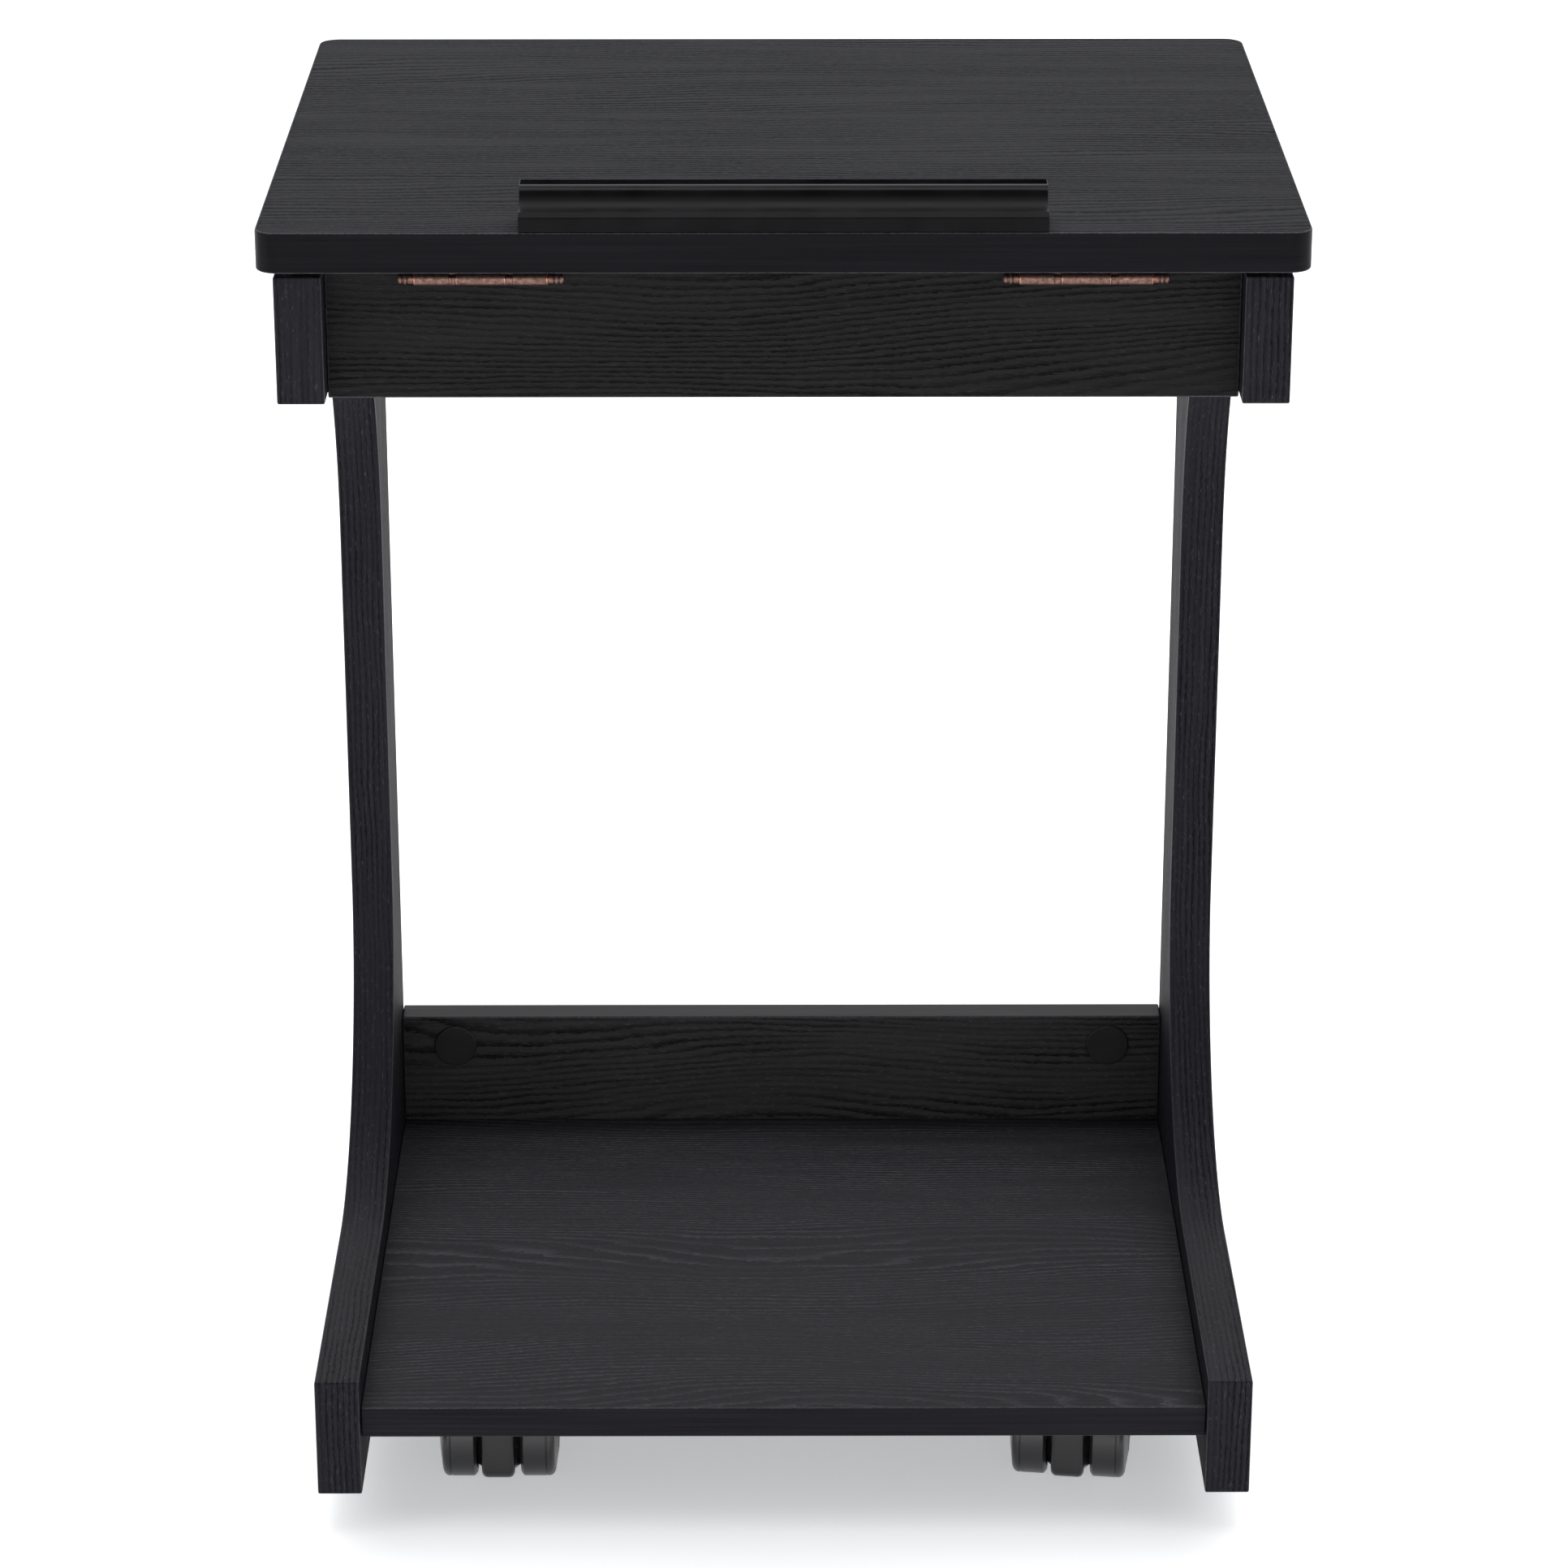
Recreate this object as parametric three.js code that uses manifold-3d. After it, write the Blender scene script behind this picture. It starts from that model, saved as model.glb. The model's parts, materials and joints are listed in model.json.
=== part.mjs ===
// A C-shaped side table on four twin-wheel casters, with a top that tilts up at the back.
// Millimetres. +Z is up, +X is to the right and -Y is the front, where the user sits.
// The origin is on the floor, under the middle of the tabletop.

import * as THREE from 'three';
import { mergeVertices } from 'three/addons/utils/BufferGeometryUtils.js';
import Module from 'manifold-3d';

const wasm = await Module();
wasm.setup();

// ---- Driving dimensions ----

const AIR = 0.3;                   // left between two pieces that touch

const TOP_WIDTH = 500;
const TOP_DEPTH = 400;
const TOP_THICK = 20;
const TOP_SURFACE = 704.5;         // height of the top's upper face above the floor
const TOP_CORNER = 10.5;           // plan radius of the four corners
const TOP_UNDER = TOP_SURFACE - TOP_THICK;

const PANEL_THICK = 23;
const PANEL_OUTER = 242.3;         // from the middle of the table to a panel's outer face
const PANEL_INNER = PANEL_OUTER - PANEL_THICK;
const PANEL_FRONT = 9;             // behind the tabletop's front edge
const PANEL_BACK = 385;
const PANEL_BOTTOM = 26;
const PANEL_TOP = 680.4;
const ARM_HEIGHT = 63;
const FOOT_HEIGHT = 65;
const POST_FRONT = 329;
const UPPER_SWEEP = 172;           // radius where the arm runs into the post
const LOWER_SWEEP = 145;           // radius where the post runs into the foot

const BOARD = 18;                  // thickness of the two rear rails
const APRON_FRONT = 23.4;
const APRON_THICK = 15;
const APRON_LOW = 1;                // the apron hangs this far below the arms
const RAIL_BOTTOM = PANEL_TOP - ARM_HEIGHT;
const SHELF_FRONT = 13.6;
const SHELF_UNDER = 57;
const SHELF_THICK = 16.7;
const SHELF_TOP = SHELF_UNDER + SHELF_THICK;
const BASE_RAIL_HEIGHT = 64.5;      // above the shelf
const CAP_X = 188.5;
const CAP_Z = 120.4;
const CAP_RADIUS = 12.2;
const CAP_THICK = 1.2;
const CAM_RADIUS = 7.3;
const CAM_LENGTH = 12;

const LEDGE_LENGTH = 250;
const LEDGE_DEPTH = 28;
const LEDGE_HEIGHT = 18.5;

const HINGE_X = 144;
const HINGE_BACK = 17.5;           // the hinge line, behind the tabletop's front edge
const HINGE_DROP = 7.15;           // the hinge line, below the tabletop's underside
const HINGE_Z = TOP_UNDER - HINGE_DROP;
const BARREL_RADIUS = 3.25;
const BARREL_LENGTH = 63.5;
const MIDDLE_KNUCKLE = 23.5;
const PIN_RADIUS = 1.6;
const LEAF_THICK = 1.2;
const LEAF_BACK = 38;
const FINIAL_LENGTH = 8.2;

const TILT_STOPS = [0, 12, 18, 23, 28];   // degrees at which the prop can be set
const PROP_LENGTH = 170;           // hinge to prop pivot, and prop pivot to foot bar
const PROP_RADIUS = 3;
const PROP_X = 192;                // the prop's legs
const PROP_FOOT_X = 216;           // the ends of its foot bar
const PROP_PIVOT_X = 181;
const BRACKET_X = 185.5;
const RACK_THICK = 10;
const RACK_BOTTOM = 655;
const RACK_CLEAR = 0.4;

const BUMPER_RADIUS = 4;
const SCREW_SHANK = 1.5;
const SCREW_HEAD = 3.4;
const SCREW_HEAD_HEIGHT = 2;

const CASTER_X = 151;
const FRONT_CASTER = 62;           // swivel line, behind the tabletop's front edge
const REAR_CASTER = 336.6;
const CASTER_YAW = -7;             // degrees that the right front caster stands turned
const TRAIL = 20;                  // axle behind the swivel line
const WHEEL_RADIUS = 25;
const WHEEL_WIDTH = 20;
const WHEEL_INNER = 11.7;          // from the caster's middle to a wheel's inner face
const CASTER_WEB = 17.4;
const WEB_BOTTOM = 8.3;
const WEB_TOE = 7;                 // radius of the web's lower front corner
const HUB_COVER_RADIUS = 21;       // round covers that close the gap between web and wheels
const HUB_COVER_OUTER = 11.2;
const PLATE_SIZE = 42;
const PLATE_THICK = 2.5;
const AXLE_RADIUS = 3;
const KINGPIN_RADIUS = 4;

// ---- Materials ----

function finish(color, roughness, metalness = 0) {
  return new THREE.MeshStandardMaterial({ color, roughness, metalness });
}

const LAMINATE = finish(0x2d2e31, 0.5);
const EDGE_LAMINATE = finish(0x25272b, 0.45);
const LEDGE_BLACK = finish(0x1c1c1f, 0.35);
const COPPER = finish(0x6e4a3c, 0.35, 0.9);
const STEEL = finish(0x9a9da1, 0.3, 0.9);
const BLACK_PLASTIC = finish(0x1b1b1d, 0.3);
const RUBBER = finish(0x202022, 0.8);

// ---- Helpers ----

// World y of a point a given distance behind the tabletop's front edge.
function behind(distance) {
  return distance - TOP_DEPTH / 2;
}

function toSolid(geometry) {
  const bare = geometry.clone();
  bare.deleteAttribute('normal');
  bare.deleteAttribute('uv');
  const merged = mergeVertices(bare, 1e-3);
  return new wasm.Manifold(new wasm.Mesh({
    numProp: 3,
    vertProperties: merged.attributes.position.array,
    triVerts: new Uint32Array(merged.index.array),
  }));
}

function toGeometry(solid) {
  const mesh = solid.getMesh();
  const geometry = new THREE.BufferGeometry();
  geometry.setAttribute('position', new THREE.BufferAttribute(mesh.vertProperties, 3));
  geometry.setIndex(new THREE.BufferAttribute(mesh.triVerts, 1));
  geometry.computeVertexNormals();
  return geometry;
}

function join(first, ...others) {
  return toGeometry(others.reduce((sum, other) => sum.add(toSolid(other)), toSolid(first)));
}

function cut(first, ...tools) {
  return toGeometry(tools.reduce((rest, tool) => rest.subtract(toSolid(tool)), toSolid(first)));
}

function block(x0, x1, y0, y1, z0, z1) {
  const geometry = new THREE.BoxGeometry(x1 - x0, y1 - y0, z1 - z0);
  return geometry.translate((x0 + x1) / 2, (y0 + y1) / 2, (z0 + z1) / 2);
}

// An outline drawn in (y, z), extruded along +X from x0 to x1.
function alongX(outline, x0, x1, curveSegments = 8) {
  const geometry = new THREE.ExtrudeGeometry(outline, {
    depth: x1 - x0,
    bevelEnabled: false,
    curveSegments,
  });
  const turn = new THREE.Matrix4().makeBasis(
    new THREE.Vector3(0, 1, 0),
    new THREE.Vector3(0, 0, 1),
    new THREE.Vector3(1, 0, 0),
  );
  return geometry.applyMatrix4(turn).translate(x0, 0, 0);
}

function rodX(x0, x1, y, z, radius, sides = 16) {
  const geometry = new THREE.CylinderGeometry(radius, radius, x1 - x0, sides);
  return geometry.rotateZ(-Math.PI / 2).translate((x0 + x1) / 2, y, z);
}

function rodY(y0, y1, x, z, radius, sides = 16) {
  const geometry = new THREE.CylinderGeometry(radius, radius, y1 - y0, sides);
  return geometry.translate(x, (y0 + y1) / 2, z);
}

function rodZ(z0, z1, x, y, radius, sides = 16) {
  const geometry = new THREE.CylinderGeometry(radius, radius, z1 - z0, sides);
  return geometry.rotateX(Math.PI / 2).translate(x, y, (z0 + z1) / 2);
}

// A profile of [radius, along] pairs, turned about the Z axis. Half a step of turn puts a flat downwards.
function turned(profile, sides, start = 0) {
  const points = profile.map(([radius, along]) => new THREE.Vector2(radius, along));
  return new THREE.LatheGeometry(points, sides, start).rotateX(Math.PI / 2);
}

const group = new THREE.Group();

function add(name, geometry, material, parent = group) {
  const mesh = new THREE.Mesh(geometry, material);
  mesh.name = name;
  parent.add(mesh);
  return mesh;
}

// ---- Screws ----

const LEDGE_SCREW_X = 90;
const LEDGE_SCREW_BACK = 21;
const LEDGE_SCREW_DEPTH = TOP_THICK + 9;
const BRACKET_SCREW_OFFSET = 11;
const BRACKET_SCREW_DEPTH = 12;
const RACK_SCREW_Z = 661;
const RACK_SCREW_BACKS = [313, 360];
const RACK_SCREW_DEPTH = RACK_THICK + 9;
const HOLE_RADIUS = SCREW_SHANK + 0.45;

// A pan-head screw standing on the Z axis: the head's underside is at 0 and the shank points up.
function screw(shankLength) {
  return turned([
    [0, -SCREW_HEAD_HEIGHT],
    [SCREW_HEAD * 0.7, -SCREW_HEAD_HEIGHT],
    [SCREW_HEAD, -SCREW_HEAD_HEIGHT * 0.4],
    [SCREW_HEAD, 0],
    [SCREW_SHANK, 0],
    [SCREW_SHANK, shankLength - 2],
    [0, shankLength],
  ], 12);
}

// ---- Tabletop and its ledge ----

const BRACKET_BACK = HINGE_BACK + PROP_LENGTH;

function roundedRectangle(width, depth, radius) {
  const x = width / 2;
  const y = depth / 2;
  const outline = new THREE.Shape();
  outline.absarc(x - radius, y - radius, radius, 0, Math.PI / 2);
  outline.absarc(radius - x, y - radius, radius, Math.PI / 2, Math.PI);
  outline.absarc(radius - x, radius - y, radius, Math.PI, Math.PI * 1.5);
  outline.absarc(x - radius, radius - y, radius, Math.PI * 1.5, Math.PI * 2);
  return outline;
}

function makeTabletop() {
  const slab = new THREE.ExtrudeGeometry(roundedRectangle(TOP_WIDTH, TOP_DEPTH, TOP_CORNER), {
    depth: TOP_THICK,
    bevelEnabled: false,
    curveSegments: 4,
  }).translate(0, 0, TOP_UNDER);
  const holes = [];
  for (const side of [-1, 1]) {
    const x = side * LEDGE_SCREW_X;
    holes.push(rodZ(TOP_UNDER - 1, TOP_SURFACE + 1, x, behind(LEDGE_SCREW_BACK), HOLE_RADIUS, 12));
    for (const offset of [-BRACKET_SCREW_OFFSET, BRACKET_SCREW_OFFSET]) {
      const y = behind(BRACKET_BACK + offset);
      holes.push(rodZ(TOP_UNDER - 1, TOP_UNDER + BRACKET_SCREW_DEPTH, side * BRACKET_X, y, HOLE_RADIUS, 12));
    }
  }
  add('tabletop', cut(slab, ...holes), LAMINATE);
}

// The ledge's section: a low front, a hollow face that rises to a rounded lip, and an upright back.
function makeBookLedge() {
  const front = behind(AIR);
  const base = TOP_SURFACE + AIR;
  const lipRadius = 2;
  const lipFront = behind(16.5);
  const crest = base + LEDGE_HEIGHT;
  const back = behind(LEDGE_DEPTH);
  const section = new THREE.Shape();
  section.moveTo(front, base);
  section.lineTo(back, base);
  section.lineTo(back, crest - 1);
  section.lineTo(back - 1, crest);
  section.lineTo(lipFront + lipRadius, crest);
  section.absarc(lipFront + lipRadius, crest - lipRadius, lipRadius, Math.PI / 2, Math.PI * 1.15);
  section.quadraticCurveTo(behind(14.5), base + 9.2, behind(3.4), base + 8.8);
  section.lineTo(front, base + 6.6);
  section.closePath();
  const half = LEDGE_LENGTH / 2;
  const bar = alongX(section, -half, half, 6);
  const holes = [-1, 1].map((side) => (
    rodZ(base - 1, base + 10.5, side * LEDGE_SCREW_X, behind(LEDGE_SCREW_BACK), HOLE_RADIUS, 12)
  ));
  add('book_ledge', cut(bar, ...holes), LEDGE_BLACK);
  for (const [side, word] of [[-1, 'left'], [1, 'right']]) {
    const fixing = add(`ledge_screw_${word}`, screw(LEDGE_SCREW_DEPTH), STEEL);
    fixing.position.set(side * LEDGE_SCREW_X, behind(LEDGE_SCREW_BACK), TOP_UNDER - AIR);
  }
}

// ---- Side panels, rails and shelf ----

// The C outline, in (y, z): a straight back, a foot, an arm, and a sweep from each into the post.
function panelOutline() {
  const front = behind(PANEL_FRONT);
  const back = behind(PANEL_BACK);
  const post = behind(POST_FRONT);
  const armUnder = PANEL_TOP - ARM_HEIGHT;
  const footTop = PANEL_BOTTOM + FOOT_HEIGHT;
  const outline = new THREE.Shape();
  outline.moveTo(front, PANEL_BOTTOM);
  outline.lineTo(back, PANEL_BOTTOM);
  outline.lineTo(back, PANEL_TOP);
  outline.lineTo(front, PANEL_TOP);
  outline.lineTo(front, armUnder);
  outline.absarc(post - UPPER_SWEEP, armUnder - UPPER_SWEEP, UPPER_SWEEP, Math.PI / 2, 0, true);
  outline.absarc(post - LOWER_SWEEP, footTop + LOWER_SWEEP, LOWER_SWEEP, 0, -Math.PI / 2, true);
  outline.lineTo(front, footTop);
  outline.closePath();
  return outline;
}

function makeSidePanel(side, word) {
  const inner = side * PANEL_INNER;
  const outer = side * PANEL_OUTER;
  const slab = alongX(panelOutline(), Math.min(inner, outer), Math.max(inner, outer), 7);
  const depth = inner + side * (RACK_SCREW_DEPTH - RACK_THICK + 1);
  const holes = RACK_SCREW_BACKS.map((back) => (
    rodX(Math.min(inner - side, depth), Math.max(inner - side, depth), behind(back), RACK_SCREW_Z, HOLE_RADIUS, 12)
  ));
  add(`side_panel_${word}`, cut(slab, ...holes), EDGE_LAMINATE);
}

// A board that spans between the two side panels.
function crossBoard(front, thick, bottom, top) {
  const half = PANEL_INNER - AIR;
  return block(-half, half, behind(front), behind(front + thick), bottom, top);
}

function makeBoards() {
  add('front_apron', crossBoard(APRON_FRONT, APRON_THICK, RAIL_BOTTOM - APRON_LOW, PANEL_TOP), LAMINATE);
  add('rear_top_rail', crossBoard(PANEL_BACK - BOARD, BOARD, RAIL_BOTTOM, PANEL_TOP), LAMINATE);
  const shelfDepth = PANEL_BACK - BOARD - AIR - SHELF_FRONT;
  add('base_shelf', crossBoard(SHELF_FRONT, shelfDepth, SHELF_UNDER, SHELF_TOP), LAMINATE);
}

// The rear base rail stands behind the shelf, level with its underside. Two cam locks pull it to the
// panels, each under a round cap.
function makeBaseRail() {
  const front = PANEL_BACK - BOARD;
  const rail = crossBoard(front, BOARD, SHELF_UNDER, SHELF_TOP + BASE_RAIL_HEIGHT);
  const sockets = [-1, 1].map((side) => (
    rodY(behind(front - 1), behind(front + CAM_LENGTH + 0.9), side * CAP_X, CAP_Z, CAM_RADIUS + 0.4)
  ));
  add('rear_base_rail', cut(rail, ...sockets), LAMINATE);
  for (const [side, word] of [[-1, 'left'], [1, 'right']]) {
    const cam = rodY(behind(front + AIR), behind(front + AIR + CAM_LENGTH), side * CAP_X, CAP_Z, CAM_RADIUS);
    const slot = block(
      side * CAP_X - 4.5, side * CAP_X + 4.5,
      behind(front - 1), behind(front + 2.4),
      CAP_Z - 0.9, CAP_Z + 0.9,
    );
    add(`cam_lock_${word}`, cut(cam, slot), STEEL);
    const cap = rodY(behind(front - AIR - CAP_THICK), behind(front - AIR), side * CAP_X, CAP_Z, CAP_RADIUS, 24);
    add(`rail_cap_${word}`, cap, BLACK_PLASTIC);
  }
}

// Soft bumpers on the arms carry the closed top.
function makeBumpers() {
  const x = (PANEL_INNER + PANEL_OUTER) / 2;
  for (const [side, word] of [[-1, 'left'], [1, 'right']]) {
    for (const [back, place] of [[62, 'front'], [338, 'rear']]) {
      const pad = rodZ(PANEL_TOP + AIR, TOP_UNDER - AIR, side * x, behind(back), BUMPER_RADIUS, 12);
      add(`bumper_${place}_${word}`, pad, RUBBER);
    }
  }
}

// ---- Hinges ----

// A knuckle from x0 to x1 with the strip that rises behind it to its leaf.
function knuckle(x0, x1, stripTop) {
  const axisY = behind(HINGE_BACK);
  const strip = axisY + BARREL_RADIUS;
  return [
    rodX(x0, x1, axisY, HINGE_Z, BARREL_RADIUS, 16),
    block(x0, x1, strip - LEAF_THICK, strip, HINGE_Z, stripTop),
  ];
}

function makeHinge(side, word) {
  const x = side * HINGE_X;
  const axisY = behind(HINGE_BACK);
  const half = BARREL_LENGTH / 2;
  const middle = MIDDLE_KNUCKLE / 2;
  const split = 0.25;
  const strip = axisY + BARREL_RADIUS;
  const bore = () => rodX(x - half - 1, x + half + 1, axisY, HINGE_Z, PIN_RADIUS + 0.4, 12);

  const lowTop = PANEL_TOP + AIR + LEAF_THICK;
  const lowLeaf = join(
    block(x - half, x + half, strip + 0.9, behind(LEAF_BACK), lowTop - LEAF_THICK, lowTop),
    ...knuckle(x - half, x - middle - split, lowTop),
    ...knuckle(x + middle + split, x + half, lowTop),
    block(x - half, x - middle - split, strip - LEAF_THICK, strip + 1, lowTop - LEAF_THICK, lowTop),
    block(x + middle + split, x + half, strip - LEAF_THICK, strip + 1, lowTop - LEAF_THICK, lowTop),
  );
  add(`hinge_${word}_apron_leaf`, cut(lowLeaf, bore()), COPPER);

  const highTop = TOP_UNDER - AIR;
  const highLeaf = join(
    block(x - half, x + half, strip - LEAF_THICK, behind(LEAF_BACK), highTop - LEAF_THICK, highTop),
    ...knuckle(x - middle, x + middle, highTop),
  );
  add(`hinge_${word}_top_leaf`, cut(highLeaf, bore()), COPPER);

  const tip = half + FINIAL_LENGTH;
  const finial = [
    [PIN_RADIUS, half + AIR],
    [2.5, half + AIR],
    [2.5, half + 2.9],
    [2.0, half + 3.3],
    [2.8, half + 3.9],
    [2.8, half + 4.9],
    [2.0, half + 5.4],
    [2.5, half + 6.1],
    [2.0, half + 7.7],
    [0, tip],
  ];
  const mirrored = finial.map(([radius, along]) => [radius, -along]).reverse();
  const pin = add(`hinge_${word}_pin`, turned([...mirrored, ...finial], 12), COPPER);
  pin.rotation.y = Math.PI / 2;
  pin.position.set(x, axisY, HINGE_Z);
}

// ---- Tilt prop ----

// How far behind the tabletop's front edge the prop's foot bar stands at a tilt.
// The hinge, the prop's pivot and its foot make two equal sides, so the foot stays level.
function footBack(degrees) {
  return HINGE_BACK + 2 * PROP_LENGTH * Math.cos(THREE.MathUtils.degToRad(degrees));
}

// The prop is one bent rod: two legs with their ends turned inwards, and a foot bar across them.
function makeProp() {
  const pivotY = behind(BRACKET_BACK);
  const footY = behind(footBack(0));
  const pieces = [];
  for (const side of [-1, 1]) {
    const legX = side * PROP_X;
    const tipX = side * PROP_PIVOT_X;
    pieces.push(rodY(pivotY, footY, legX, HINGE_Z, PROP_RADIUS, 12));
    pieces.push(rodX(Math.min(legX, tipX), Math.max(legX, tipX), pivotY, HINGE_Z, PROP_RADIUS, 12));
    pieces.push(new THREE.SphereGeometry(PROP_RADIUS, 12, 8).translate(legX, pivotY, HINGE_Z));
  }
  const bar = rodX(-PROP_FOOT_X, PROP_FOOT_X, footY, HINGE_Z, PROP_RADIUS, 12);
  add('prop_bail', join(bar, ...pieces), STEEL);
}

// A plate under the tabletop with one ear that the prop's end turns in.
function makeBracket(side, word) {
  const x = side * BRACKET_X;
  const y = behind(BRACKET_BACK);
  const top = TOP_UNDER - AIR;
  const thick = 1.5;
  const ear = new THREE.Shape();
  ear.moveTo(y + 6, top - thick / 2);
  ear.lineTo(y - 6, top - thick / 2);
  ear.absarc(y, HINGE_Z, 6, Math.PI, Math.PI * 2);
  ear.closePath();
  const body = join(
    block(x - 7, x + 7, y - 17, y + 17, top - thick, top),
    alongX(ear, x - 1.25, x + 1.25, 6),
  );
  const holes = [rodX(x - 3, x + 3, y, HINGE_Z, PROP_RADIUS + 0.5, 16)];
  for (const offset of [-BRACKET_SCREW_OFFSET, BRACKET_SCREW_OFFSET]) {
    holes.push(rodZ(top - 3, top + 1, x, y + offset, HOLE_RADIUS, 12));
  }
  add(`prop_bracket_${word}`, cut(body, ...holes), STEEL);
  [-BRACKET_SCREW_OFFSET, BRACKET_SCREW_OFFSET].forEach((offset, index) => {
    const fixing = add(`bracket_screw_${word}_${index + 1}`, screw(BRACKET_SCREW_DEPTH), STEEL);
    fixing.position.set(x, y + offset, top - thick - AIR);
  });
}

// A notched strip on the panel's inner face, with one notch for each tilt stop.
function makeRack(side, word) {
  const crest = HINGE_Z - PROP_RADIUS - RACK_CLEAR;
  const notch = PROP_RADIUS + 0.4;
  const outline = new THREE.Shape();
  outline.moveTo(behind(footBack(0) + 7.5), RACK_BOTTOM);
  outline.lineTo(behind(footBack(0) + 7.5), crest);
  for (const degrees of TILT_STOPS) {
    const y = behind(footBack(degrees));
    outline.lineTo(y + notch, crest);
    outline.absarc(y, crest, notch, 0, -Math.PI, true);
  }
  const last = behind(footBack(TILT_STOPS.at(-1)) - 9);
  outline.lineTo(last, crest);
  outline.lineTo(last, RACK_BOTTOM);
  outline.closePath();
  const outer = side * (PANEL_INNER - AIR);
  const inner = outer - side * RACK_THICK;
  const low = Math.min(outer, inner);
  const high = Math.max(outer, inner);
  const holes = RACK_SCREW_BACKS.map((back) => (
    rodX(low - 1, high + 1, behind(back), RACK_SCREW_Z, HOLE_RADIUS, 12)
  ));
  add(`prop_rack_${word}`, cut(alongX(outline, low, high, 3), ...holes), BLACK_PLASTIC);
  RACK_SCREW_BACKS.forEach((back, index) => {
    const fixing = add(`rack_screw_${word}_${index + 1}`, screw(RACK_SCREW_DEPTH), STEEL);
    fixing.rotation.y = side * Math.PI / 2;
    fixing.position.set(inner - side * AIR, behind(back), RACK_SCREW_Z);
  });
}

// ---- Casters ----

const PLATE_TOP = SHELF_UNDER - AIR;
const PLATE_UNDER = PLATE_TOP - PLATE_THICK;
const HOOD_TOP = PLATE_UNDER - 0.8;
const KINGPIN_BOTTOM = 37;

// The fixed plate, with the kingpin that the caster turns on.
function makeCasterPlate(name, parent) {
  const half = PLATE_SIZE / 2;
  const plate = block(-half, half, -half, half, PLATE_UNDER, PLATE_TOP);
  const kingpin = rodZ(KINGPIN_BOTTOM, PLATE_UNDER + 0.5, 0, 0, KINGPIN_RADIUS, 20);
  const holes = [];
  for (const x of [-1, 1]) {
    for (const y of [-1, 1]) {
      holes.push(rodZ(PLATE_UNDER - 1, PLATE_TOP + 1, x * (half - 5.5), y * (half - 5.5), 2, 12));
    }
  }
  add(`${name}_plate`, cut(join(plate, kingpin), ...holes), STEEL, parent);
}

// The web between the wheels with its hub covers, a hood over them, a bore for the axle
// and a socket for the kingpin.
function makeCasterFork(name, parent) {
  const axleZ = WHEEL_RADIUS;
  const half = CASTER_WEB / 2;
  const web = new THREE.Shape();
  web.moveTo(-half, HOOD_TOP);
  web.absarc(WEB_TOE - half, WEB_BOTTOM + WEB_TOE, WEB_TOE, Math.PI, Math.PI * 1.5);
  web.absarc(TRAIL, axleZ, axleZ - WEB_BOTTOM, -Math.PI / 2, Math.PI / 4);
  web.lineTo(TRAIL + 4, HOOD_TOP);
  web.closePath();
  const hoodInner = WHEEL_RADIUS + 1;
  const hoodOuter = HOOD_TOP - axleZ;
  const from = THREE.MathUtils.degToRad(40);
  const to = THREE.MathUtils.degToRad(128);
  const hood = new THREE.Shape();
  hood.absarc(TRAIL, axleZ, hoodOuter, from, to);
  hood.absarc(TRAIL, axleZ, hoodInner, to, from, true);
  hood.closePath();
  const hoodHalf = WHEEL_INNER + WHEEL_WIDTH - 1.5;
  const fork = join(
    alongX(web, -half, half, 6),
    rodX(-HUB_COVER_OUTER, HUB_COVER_OUTER, TRAIL, axleZ, HUB_COVER_RADIUS, 28),
    alongX(hood, -hoodHalf, hoodHalf, 4),
  );
  const bores = [
    rodX(-HUB_COVER_OUTER - 1, HUB_COVER_OUTER + 1, TRAIL, axleZ, AXLE_RADIUS + 0.3, 16),
    rodZ(KINGPIN_BOTTOM - 1, HOOD_TOP + 1, 0, 0, KINGPIN_RADIUS + 0.4, 20),
  ];
  add(`${name}_fork`, cut(fork, ...bores), BLACK_PLASTIC, parent);
  const reach = WHEEL_INNER + WHEEL_WIDTH - 5;
  add(`${name}_axle`, rodX(-reach, reach, TRAIL, axleZ, AXLE_RADIUS, 16), STEEL, parent);
}

// A wheel turned about its own axle, with its domed face outwards and a blind bore.
function makeWheel(name, side, parent) {
  const sides = 24;
  const tread = WHEEL_RADIUS / Math.cos(Math.PI / sides);
  const bore = AXLE_RADIUS + 0.3;
  const profile = [
    [0, WHEEL_WIDTH - 4],
    [bore, WHEEL_WIDTH - 4],
    [bore, 0],
    [tread - 2, 0],
    [tread, 1.6],
    [tread, WHEEL_WIDTH - 5.4],
    [tread - 1.2, WHEEL_WIDTH - 3],
    [tread - 3.8, WHEEL_WIDTH - 1.8],
    [tread - 16, WHEEL_WIDTH],
    [0, WHEEL_WIDTH],
  ];
  const wheel = add(name, turned(profile, sides, Math.PI / sides), BLACK_PLASTIC, parent);
  wheel.rotation.y = side * Math.PI / 2;
  wheel.position.set(side * WHEEL_INNER, TRAIL, WHEEL_RADIUS);
}

function makeCaster(name, x, back, yaw) {
  const caster = new THREE.Group();
  makeCasterPlate(name, caster);
  const swivel = new THREE.Group();
  makeCasterFork(name, swivel);
  makeWheel(`${name}_wheel_left`, -1, swivel);
  makeWheel(`${name}_wheel_right`, 1, swivel);
  swivel.rotation.z = THREE.MathUtils.degToRad(yaw);
  caster.add(swivel);
  caster.position.set(x, behind(back), 0);
  group.add(caster);
}

// ---- The table ----

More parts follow.
